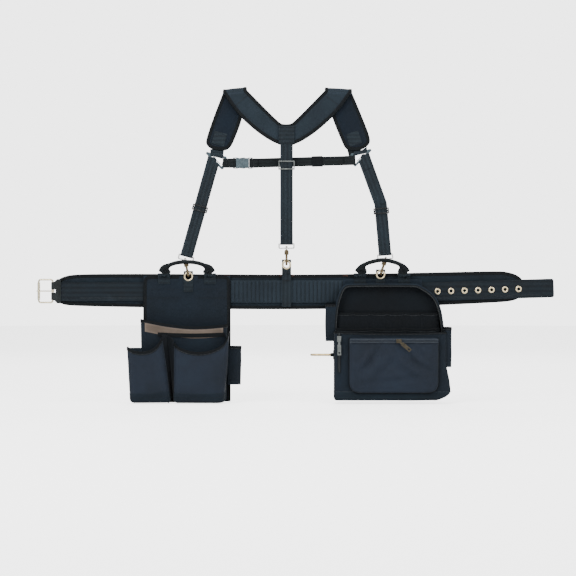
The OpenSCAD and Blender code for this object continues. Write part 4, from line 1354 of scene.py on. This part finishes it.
def build_left_pouch():
    body = "left_pouch"
    panel = soft_copy("left_back_panel", "pouch", 9.0, 0.45, 0.03)
    piece(panel, "left_back_cloth", body, "left_back_panel")
    left_edge = [(-386.6, -294), (-386.6, 30), (-383, 40), (-374, 44.3), (-290, 44.3)]
    right_edge = [(-240, 44.3), (-165, 44.3), (-156, 40), (-152.6, 30), (-152.6, -294)]
    for k, pts in enumerate((left_edge, right_edge)):
        path, outs, ups = clockwise_path(pts, PANEL_Y)
        tape = bound(f"left_panel_tape_{k}", path, outs, ups, 2.1, 8.0, body=body, thick=0.7,
                     colour="dark_thread")
        piece(tape, f"left_panel_tape_{k}", body)
    for z in (30, 8, -14, -17.5):
        for x0, x1 in ((-379, -284), (-247, -160)):
            stitch(body, [((x, -21.95, z), FORWARD) for x in np.linspace(x0, x1, 20)], "dark_thread")

    build_left_mid_pocket(body)
    build_left_front_pockets(body)
    low, high = node_box("left_bar_sleeve")
    tube_between("left_bar_sleeve_cloth", "left_bar_sleeve", body, low, high, 1.5)


def build_left_mid_pocket(body):
    mid_y = -59.6
    mouth = curve([(-392, -74), (-372, -77), (-325, -87), (-260, -94.5), (-210, -93), (-160, -88)])
    mid, shape = pocket("left_mid_pocket", "pouch", lambda t: -392 + 4 * (1 - t),
                        lambda t: -160 - 3 * (1 - t),
                        SHELL_Y, mid_y, node_box("left_mid_pocket")[0].z, mouth, lambda t: 9.0,
                        lambda t: 9.0, swell=2.0)
    face = Surface(mid)
    seal(mid, CLOTH)
    # the tan facing below the mouth, and the bound top of the front pockets' own back
    rows = []
    for drop in np.linspace(6, 30, 5):
        rows.append([(x, face.depth(x, mouth(x) - drop, mid_y) - 0.7,
                      mouth(x) - drop) for x in np.linspace(-380, -170, 40)])
    piece(sheet("left_facing", rows, "tan", 0.6), "left_mouth_facing", body)
    rows = []
    for drop in np.linspace(0, 11, 4):
        rows.append([(x, face.depth(x, -109 - drop, mid_y) - 1.6,
                      -108 - drop - 3 * math.sin(math.pi * (x + 345) / 185))
                     for x in np.linspace(-345, -166, 36)])
    band = sheet("left_band", rows, "bind", 0.8)
    weave_of(band, [(v.co.x, v.co.z) for v in band.data.vertices])
    piece(band, "left_inner_band", body)
    mouth_tape(body, "left_mid_mouth_tape", *lattice_of(mid, shape))
    piece(mid, "left_mid_pocket_cloth", body, "left_mid_pocket", 60)


def build_left_front_pockets(body):
    """Two deep pockets side by side, with a pleat of slack cloth between them."""
    low, high = node_box("left_front_pockets")
    floor, back_y, front_y = low.z + 1.0, -59.9, low.y + 3.5
    mouth_a = curve([(-426, -147), (-408, -157), (-384, -161), (-358, -155), (-342, -141), (-332, -122)])
    mouth_b = curve([(-300, -138), (-286, -149), (-258, -159), (-228, -161.5), (-196, -156), (-170, -143),
                     (-159, -128),
                     (-153, -110)])
    a, shape_a = pocket("front_a", "slate", lambda t: -416.5 - 9 * t, lambda t: -307.0 - 25 * t, back_y,
                        front_y, floor,
                        mouth_a, lambda t: 11.0, lambda t: 12 + 14 * t, across=22, swell=4.5)
    b, shape_b = pocket("front_b", "slate", lambda t: -300.0, lambda t: -168 + 15 * t ** 0.8, back_y,
                        front_y, floor,
                        mouth_b, lambda t: 9 + 5 * t, lambda t: 11.0, across=24, swell=4.5)
    for key, obj, shape, seed in (("a", a, shape_a, 5.0), ("b", b, shape_b, 9.0)):
        ripple(obj, 2.2, 0.011, seed, keep=lambda c: float(1 - ease(c[2], -150, -120)))
        mouth_tape(body, f"left_front_mouth_{key}", *lattice_of(obj, shape), facing_row=-1)
        strip = overlay(f"left_foot_band_{key}", obj, shape, (4, 12), (2, shape[1] - 2), 0.9, 0.8, "pouch")
        piece(strip, f"left_foot_band_{key}", body)
        for row in (9, 11):
            lattice_stitch(body, obj, shape, [row], range(3, shape[1] - 3), "dark_thread", 1.1)
        for col in (7, shape[1] - 8):
            lattice_stitch(body, obj, shape, range(12, shape[0] - 2), [col], "dark_thread", 0.1)
        seal(obj, CLOTH)
    # painted shade: the pleat's sheet takes the darkest cloth, so the recess between the two pockets reads dark
    rows = []
    for t in np.linspace(0, 1, 16):
        z = floor + 1.5 + t * (-114 - floor)
        x0, x1 = -307 - 25 * t, -300 - 1.5 * t
        rows.append([(x0 + (x1 - x0) * f, -61 - 22 * (1 - t * 0.35) * (2 * abs(f - 0.42)) ** 0.8,
                      z - 14 * t * f ** 2)
                     for f in np.linspace(-0.02, 1.02, 13)])
    piece(subdivide(sheet("left_pleat", rows, "dark", 1.4)), "left_front_pleat", body)
    # where pocket a runs on past the mid pocket, its own back closes it
    rows = []
    for t in np.linspace(0, 1, 12):
        z = floor + 2 + t * (-151 - floor)
        rows.append([(x, -60.4 - 0.8 * math.sin(0.1 * z), z) for x in np.linspace(-424 + 9 * (1 - t), -388,
                                                                                  8)])
    wall = face_front(object_of("left_pocket_back", *grid(rows), "pouch"))
    wall.data.flip_normals()
    piece(seal(wall, 1.6), "left_pocket_back", body)
    piece(join("front", [a, b]), "left_front_pocket_cloth", body, "left_front_pockets", 60)


def tube_between(name, node, body, low, high, flare=0.0):
    """A flat tube of cloth with a bound mouth, filling a box; node is the CAD node it stands for, if any."""
    rows, count = [], 36
    cx, cy = (low.x + high.x) / 2, (low.y + high.y) / 2
    for t in np.linspace(0, 1, 16):
        rx, ry = (high.x - low.x) / 2 + flare * t, (high.y - low.y) / 2
        rows.append([(cx + rx * squared(math.cos(s), 0.42), cy + ry * squared(math.sin(s), 0.42),
                      low.z + (high.z - low.z) * t) for s in ring_of(count)])
    tube = face_outward(object_of(name, *grid(rows, close_cols=True), "pouch"))
    co, n = coords(tube), normals(tube)
    if ((co[:, 0] - cx) * n[:, 0] + (co[:, 1] - cy) * n[:, 1]).sum() < 0:
        tube.data.flip_normals()
    ripple(tube, 1.2, 0.03, 4.0)
    co, n = lattice_of(tube, (16, count))
    seal(tube, 1.6)
    path = [Vector(co[-1, i]) - Vector(n[-1, i]) * 0.8 for i in range(count)]
    ups = [Vector((n[-1, i][0], n[-1, i][1], 0)).normalized() for i in range(count)]
    tape = bound(name + "_tape", path, [UP] * count, ups, 1.6, 7.0, closed=True, body=body, thick=0.7)
    piece(tape, name + "_tape", body)
    piece(tube, name, body, node, 60)


# ---------------------------------------------------------------- zipped bag

ARCH = [(127, -107), (129, -60), (136, -22), (147, 8), (158, 19), (170, 21.5), (345, 21.5), (358, 18),
        (390, -2),
        (406, -22), (416, -50), (420, -76), (424, -107)]


def zip_teeth(name, line, outs, facing, mat, pitch=2.3, wide=2.2, tall=1.1):
    """A row of moulded teeth along a line, each a small block with a rounded crown."""
    verts, faces = [], []
    points = spaced([Vector(p) for p in line], pitch)
    k = 0
    for a, b in zip(points, points[1:]):
        while k < len(line) - 1 and (Vector(line[k]) - a).length > (Vector(line[k + 1]) - a).length:
            k += 1
        t, o, f = (b - a).normalized(), outs[k], facing[k]
        base = len(verts)
        for d, s in ((0.0, 1.0), (0.75, 0.9), (1.0, 0.55)):
            for p, q in ((-1, -1), (1, -1), (1, 1), (-1, 1)):
                verts.append(a + t * (p * 0.3 * pitch * s) + o * (q * wide / 2 * s) + f * (d * tall))
        for layer in (0, 4):
            for i in range(4):
                j = (i + 1) % 4
                faces.append((base + layer + i, base + layer + j, base + layer + 4 + j, base + layer + 4 + i))
        faces += [tuple(range(base + 8, base + 12)), tuple(range(base + 3, base - 1, -1))]
    return face_outward(object_of(name, verts, faces, mat))


def ribbon(name, line, outs, facing, width, thick, mat, offset=0.0):
    """A flat tape along a line."""
    h = width / 2
    section = [(offset - h, 0), (offset - h, thick * 0.7), (offset - h + 0.4, thick), (offset, thick * 1.05),
               (offset + h - 0.4, thick), (offset + h, thick * 0.7), (offset + h, 0)]
    return sweep(name, line, outs, facing, section, mat)


def build_bag():
    body = "right_pouch"
    build_bag_panel(body)
    build_bag_shell(body)
    build_front_pocket(body)
    build_tool_rows(body)
    driver = Vector((105, -46, -132)), Vector((133, -24, -33))
    tube_between("driver_sleeve", "bag_side_pockets", body, *driver, 0.6)
    knife = Vector((423, -85, -200)), Vector((441, -30, -95))
    tube_between("knife_sleeve", (), body, *knife, 0.6)
    for name, mat, slot in (("main_zip_slider", "silver", "zip_metal"),
                            ("main_zip_pull", "silver", "zip_metal"),
                            ("pocket_zip_slider", "antique", "zip_antique"),
                            ("pocket_zip_pull", "antique", "zip_antique")):
        piece(cast_copy(name, mat, 0.45, 4), name + "_cast", name, name, 60)
    dress("hammer_loop", "holder")


def build_bag_panel(body):
    panel = soft_copy("right_back_panel", "pouch", 9.0, 0.45, 0.3)
    piece(panel, "right_back_cloth", body, "right_back_panel")
    low, high = node_box("right_back_panel")
    rise = [(low.x, -30), (low.x, 24), (low.x + 4, 31), (low.x + 12, high.z)]
    fall = [(low.x + high.x - x, z) for x, z in rise[::-1]]
    path, outs, ups = clockwise_path(rise + fall, PANEL_Y)
    tape = bound("right_panel_tape", path, outs, ups, 2.1, 4.5, "pouch", body=body, thick=0.7,
                 colour="dark_thread")
    piece(tape, "right_panel_tape", body)


def build_bag_shell(body):
    """The box whose right wall flares at its foot, the arched gusset, the dark lining and the three zips."""
    low, high = node_box("bag_shell")
    z0, z1 = low.z, -107.0

    def right_wall(t):
        heights = [z0, z0 + 14, z0 + 26, -234, -200, z1]
        return float(np.interp(z0 + t * (z1 - z0), heights, [404, 432, 438, 434, 427, 427]))
    mouth = curve([(127, z1), (180, z1 - 2), (280, z1 - 4.5), (380, z1 - 2), (428, z1)])
    box, shape = pocket("bag_box", "pouch", lambda t: 127.5, right_wall, SHELL_Y, low.y + 1.5, z0, mouth,
                        lambda t: 9.0, lambda t: 12.0, rows=28, across=34, foot=7.0, swell=2.2, pressure=2.0)
    ripple(box, 1.6, 0.012, 21.0, keep=lambda c: float(1 - ease(c[2], -150, -125)) * float(c[0] > 300))
    mouth_tape(body, "bag_mouth_tape", *lattice_of(box, shape), 4.5)
    strip = overlay("bag_foot_band", box, shape, (5, 11), (2, shape[1] - 2), 0.8, 0.9, "pad")
    piece(strip, "bag_foot_band", body)
    lattice_stitch(body, box, shape, [10], range(4, shape[1] - 4), "grey_thread", 1.8)
    for col in (8, shape[1] - 9):
        lattice_stitch(body, box, shape, range(11, shape[0] - 3), [col], "dark_thread", 0.1)
    face = Surface(box)
    seal(box, CLOTH)

    # gusset over the top
    path, outs, facing = clockwise_path(ARCH, SHELL_Y + 0.1)
    depth = 22.2
    crown = [(0.9 * math.sin(math.pi * b / depth), b) for b in (4, 8, 12, 16, 20)]
    under = [(a - CLOTH, b) for a, b in crown[::-1]]
    section = [(-CLOTH, 0), (0, 0)] + crown + [(0, depth), (-CLOTH, depth)] + under
    gusset = sweep("bag_gusset", path, outs, facing, section, "pouch")
    outline = [(x, 0, z) for x, z in ARCH[::-1] + [(128, -280), (424, -280)]]
    lining = prism("bag_lining", outline, -23.6, SHELL_Y, "dark")
    cut_up(lining, 10.0)
    ripple(lining, 0.8, 0.02, 31.0, along=(0, 1, 0))
    piece(join("bag_shell", [box, gusset, lining]), "bag_shell_cloth", body, "bag_shell", 60)

    # opened zip along the gusset's rim, with its piping
    rim = [p + FORWARD * depth for p in path]
    arch_tape = ribbon("arch_zip", rim, outs, facing, 7.0, 0.9, "ziptape", -3.0)
    line = [p - o * 6.2 + FORWARD * 0.6 for p, o in zip(rim, outs)]
    arch_teeth = zip_teeth("arch_teeth", line, outs, facing, "teeth")
    line = [p - o * 0.6 for p, o in zip(rim, outs)]
    piping = bound("arch_piping", line, facing, outs, 2.4, 6.0, "pouch", thick=0.8)
    # front-edge zip and the pocket's zip
    upright = [Vector((140, face.depth(140, z, low.y) - 0.2, z)) for z in np.linspace(-110, -214, 30)]
    edge_tape = ribbon("edge_zip", upright, [RIGHT] * 30, [FORWARD] * 30, 9.0, 1.0, "ziptape")
    line = [p + FORWARD * 0.9 for p in upright]
    edge_teeth = zip_teeth("edge_teeth", line, [RIGHT] * 30, [FORWARD] * 30, "teeth", 2.0, 3.0, 0.8)
    level = [Vector((x, -106.9, -129.7)) for x in np.linspace(168, 403, 50)]
    pocket_tape = ribbon("pocket_zip", level, [UP] * 50, [FORWARD] * 50, 11.0, 1.0, "slate")
    line = [p + FORWARD * 0.9 for p in level]
    pocket_teeth = zip_teeth("pocket_teeth", line, [UP] * 50, [FORWARD] * 50, "teeth", 2.0, 1.8, 0.6)
    for off in (-3.9, 3.9):
        stitch(body, [(v + Vector((0, -1.2, off)), FORWARD) for v in level], "grey_thread", 3.0, 1.3, 0.86)
        stitch(body, [(v + Vector((off * 0.95, -1.2, 0)), FORWARD) for v in upright], "dark_thread", 3.0, 0.8)
    parts = [arch_tape, piping, edge_tape, pocket_tape, arch_teeth, edge_teeth, pocket_teeth]
    piece(join("zips", parts), "bag_zips", body, "zip_tapes", 40)


# the front pocket's creases: centre x and z, slope in degrees, width, length and depth
CREASES = [(230, -175, 58, 9, 34, 1.8), (205, -200, 40, 8, 30, 1.3), (330, -180, -52, 10, 40, 1.7),
           (372, -205, -30, 8, 32, 1.6), (290, -235, 8, 9, 60, 1.1), (262, -160, 70, 8, 26, 1.2),
           (352, -158, -68, 8, 26, 1.3), (395, -245, 60, 9, 30, 1.6), (190, -235, -60, 9, 34, 1.4),
           (262, -205, 48, 12, 44, 1.5), (318, -215, -35, 12, 44, 1.6)]


def build_front_pocket(body):
    """The padded front pocket, creased, with a flat band above for its zip."""
    low, high = node_box("bag_front_pocket")
    left, right, foot, top, r = low.x + 2, high.x - 2, low.z + 2, high.z, 26.0
    quarter = [math.pi / 2 * k / 8 for k in range(9)]
    corner = [(left + r - r * math.cos(a), 0, foot + r - r * math.sin(a)) for a in quarter]
    other = [(right - r + r * math.sin(a), 0, foot + r - r * math.cos(a)) for a in quarter]
    outline = [(left, 0, top)] + corner + other + [(right, 0, top)]
    pillow = prism("front_pocket", outline, low.y + 1.6, high.y - 0.2, "slate")
    modify(pillow, ("REMESH", {"mode": "VOXEL", "voxel_size": 4.0}),
           ("SMOOTH", {"factor": 0.5, "iterations": 3}))
    co, n = coords(pillow), normals(pillow)
    rim_d = edge_distance(co, [[Vector(p) for p in outline]])
    front_side = n[:, 1] < 0
    inflate(pillow, (rim_d < 4) | ~front_side | (co[:, 2] > -140), 8.5, 5.0)
    co = coords(pillow)
    w = ease(rim_d, 6, 40) * front_side * (1 - ease(co[:, 2], -150, -138))
    mid_x, mid_z = (left + right) / 2, (foot + top) / 2
    for cx, cz, ang, wide, long, deep in CREASES:
        deep, long = deep * 2.1, long * 1.15
        ca, sa = math.cos(math.radians(ang)), math.sin(math.radians(ang))
        u = (co[:, 0] - cx) * ca + (co[:, 2] - cz) * sa
        v = -(co[:, 0] - cx) * sa + (co[:, 2] - cz) * ca
        co[:, 1] += w * deep * np.exp(-(u / long) ** 2 - (v / wide) ** 2)
        co[:, 1] -= w * deep * 0.7 * np.exp(-(u / long) ** 2 - ((v - wide * 1.5) / wide) ** 2)
    set_coords(pillow, co)
    subdivide(pillow)
    skin = Surface(pillow)
    seam = [Vector(p).lerp((mid_x, 0, mid_z), 0.035) for p in corner + other]
    seam = [Vector((left + 5, 0, top - 20))] + seam + [Vector((right - 5, 0, top - 20))]
    stitch_parts(body, skin, spaced(seam, 4), "dark_thread")
    piece(pillow, "bag_front_pocket_cloth", body, "bag_front_pocket", 60)
    edge_path = spaced(smooth_path([(x, low.y + 8.6, z) for x, _, z in outline], False, 1), 5)
    circle = [(1.7 * math.cos(s), 1.7 * math.sin(s)) for s in ring_of(10)]
    cording = sweep("pocket_piping", edge_path, *flat_frames(edge_path), circle, "bind")
    piece(cording, "pocket_piping", body)


def build_tool_rows(body):
    """Two rows of tool pockets inside the bag: cloth that bellies out between its sewn dividers."""
    made = []
    rear_seams, middle_seams = [134, 180, 226, 272, 318, 364, 411], [130.5, 230, 320, 411]
    for name, y, z_low, z_top, seams, belly in (("rear_row", -32.8, -198, -55, rear_seams, 4.0),
                                                ("middle_row", -52.8, -261, -98, middle_seams, 7.0)):
        rows = []
        for t in np.linspace(0, 1, 14):
            row = []
            for a, b in zip(seams, seams[1:]):
                for k in range(12):
                    f = k / 12
                    x = a + (b - a) * f
                    row.append((x, y - belly * math.sin(math.pi * f) ** 0.7 * (0.3 + 0.7 * t),
                                z_low + (z_top - z_low) * t - 2.5 * math.sin(math.pi * f) * t))
            row.append((seams[-1], y, z_low + (z_top - z_low) * t))
            rows.append(row)
        row_cloth = face_front(object_of(name, *grid(rows), "dark"))
        co, n = lattice_of(row_cloth, (14, len(rows[0])))
        mouth_tape(body, f"bag_{name}_tape", co, n, 8.0, 1.6)
        for i in range(12, co.shape[1] - 1, 12):
            stitch(body, [(Vector(co[j, i]) + FORWARD * 0.2, FORWARD) for j in range(3, 14)], "dark_thread")
        made.append(seal(row_cloth, 1.6))
    made += [divider(x, -23.8, -32.5, -198, -57) for x in rear_seams[1:-1]]
    made += [divider(x, -34.2, -52.2, -260, -101) for x in middle_seams[1:-1]]
    piece(join("tool_rows", made), "bag_tool_rows", body, "bag_tool_pockets", 60)


def divider(x, y0, y1, z0, z1):
    """An upright wall of doubled cloth between two pockets."""
    rows = [[(x + 0.8 * math.sin(z * 0.09 + y * 0.2), y, z) for y in np.linspace(y0, y1, 5)]
            for z in np.linspace(z0, z1, 12)]
    return seal(object_of("divider", *grid(rows), "dark"), 1.2, 0.0)


# ---------------------------------------------------------------- picture

def area_light(name, place, aim, size, power, colour=(1, 1, 1)):
    data = bpy.data.lights.new(name, "AREA")
    data.shape, data.size, data.energy, data.color = "DISK", size, power, colour
    lamp = bpy.data.objects.new(name, data)
    bpy.context.scene.collection.objects.link(lamp)
    lamp.location = place
    lamp.rotation_euler = (Vector(aim) - Vector(place)).to_track_quat("-Z", "Y").to_euler()


def build_picture():
    """A pale floor and backdrop, four soft lights and the camera, which sees the backdrop brightened."""
    scene = bpy.context.scene
    world = bpy.data.worlds.new("studio")
    world.use_nodes = True
    wt = world.node_tree
    seen = wt.nodes.new("ShaderNodeLightPath").outputs["Is Camera Ray"]
    wt.links.new(math_node(wt, "MULTIPLY_ADD", seen, 3.0, 0.8), wt.nodes["Background"].inputs["Strength"])
    wt.nodes["Background"].inputs["Color"].default_value = (1, 1, 1, 1)
    scene.world = world
    bm = bmesh.new()
    bmesh.ops.create_circle(bm, cap_ends=True, segments=96, radius=9.0)
    mesh = bpy.data.meshes.new("floor")
    bm.to_mesh(mesh)
    bm.free()
    floor = bpy.data.objects.new("floor", mesh)
    scene.collection.objects.link(floor)
    floor.location.z = cad_box[0][2] - 0.002
    mat, t, bsdf = tree("pale_floor")
    place = object_place(t)
    cloud = noise_of(t, place, 1.5, 2.0)
    t.links.new(blend_colours(t, cloud, (0.90, 0.90, 0.90), (0.94, 0.94, 0.94)), bsdf.inputs["Base Color"])
    bsdf.inputs["Roughness"].default_value = 0.8
    bsdf.inputs["Emission Color"].default_value = (1, 1, 1, 1)
    seen = t.nodes.new("ShaderNodeLightPath").outputs["Is Camera Ray"]
    t.links.new(math_node(t, "MULTIPLY", seen, 2.6), bsdf.inputs["Emission Strength"])
    mesh.materials.append(mat)

    area_light("key", (-1.6, -2.6, 2.2), (0, 0, 0.1), 1.6, 90)
    area_light("fill", (2.2, -2.4, 1.0), (0, 0, 0.1), 1.8, 45)
    area_light("top", (0, -0.6, 2.8), (0, 0, 0.1), 1.4, 40)
    area_light("rim", (0, 2.6, 1.8), (0, 0, 0.1), 1.6, 40)

    data = bpy.data.cameras.new("camera")
    data.lens, data.sensor_width = LENS, 36.0
    camera = bpy.data.objects.new("camera", data)
    scene.collection.objects.link(camera)
    camera.location = (0.004, -(PHOTO_W * LENS / 36) * MM - 0.03, 0.011)
    camera.rotation_euler = (math.pi / 2, 0, 0)
    scene.camera = camera


build_belt()
build_yoke()
build_straps()
build_handle("left", [(62, 0), (60, 10), (57, 25), (25, 38.8)])
build_handle("right", [(60, 0), (58, 10), (52, 32), (11, 44.5)])
build_left_pouch()
build_bag()
for (body, colour), (verts, faces) in sorted(SEWING.items()):
    piece(object_of(f"{body}_{colour}", verts, faces, colour), f"{body}_{colour}", body, (), 80)
build_picture()
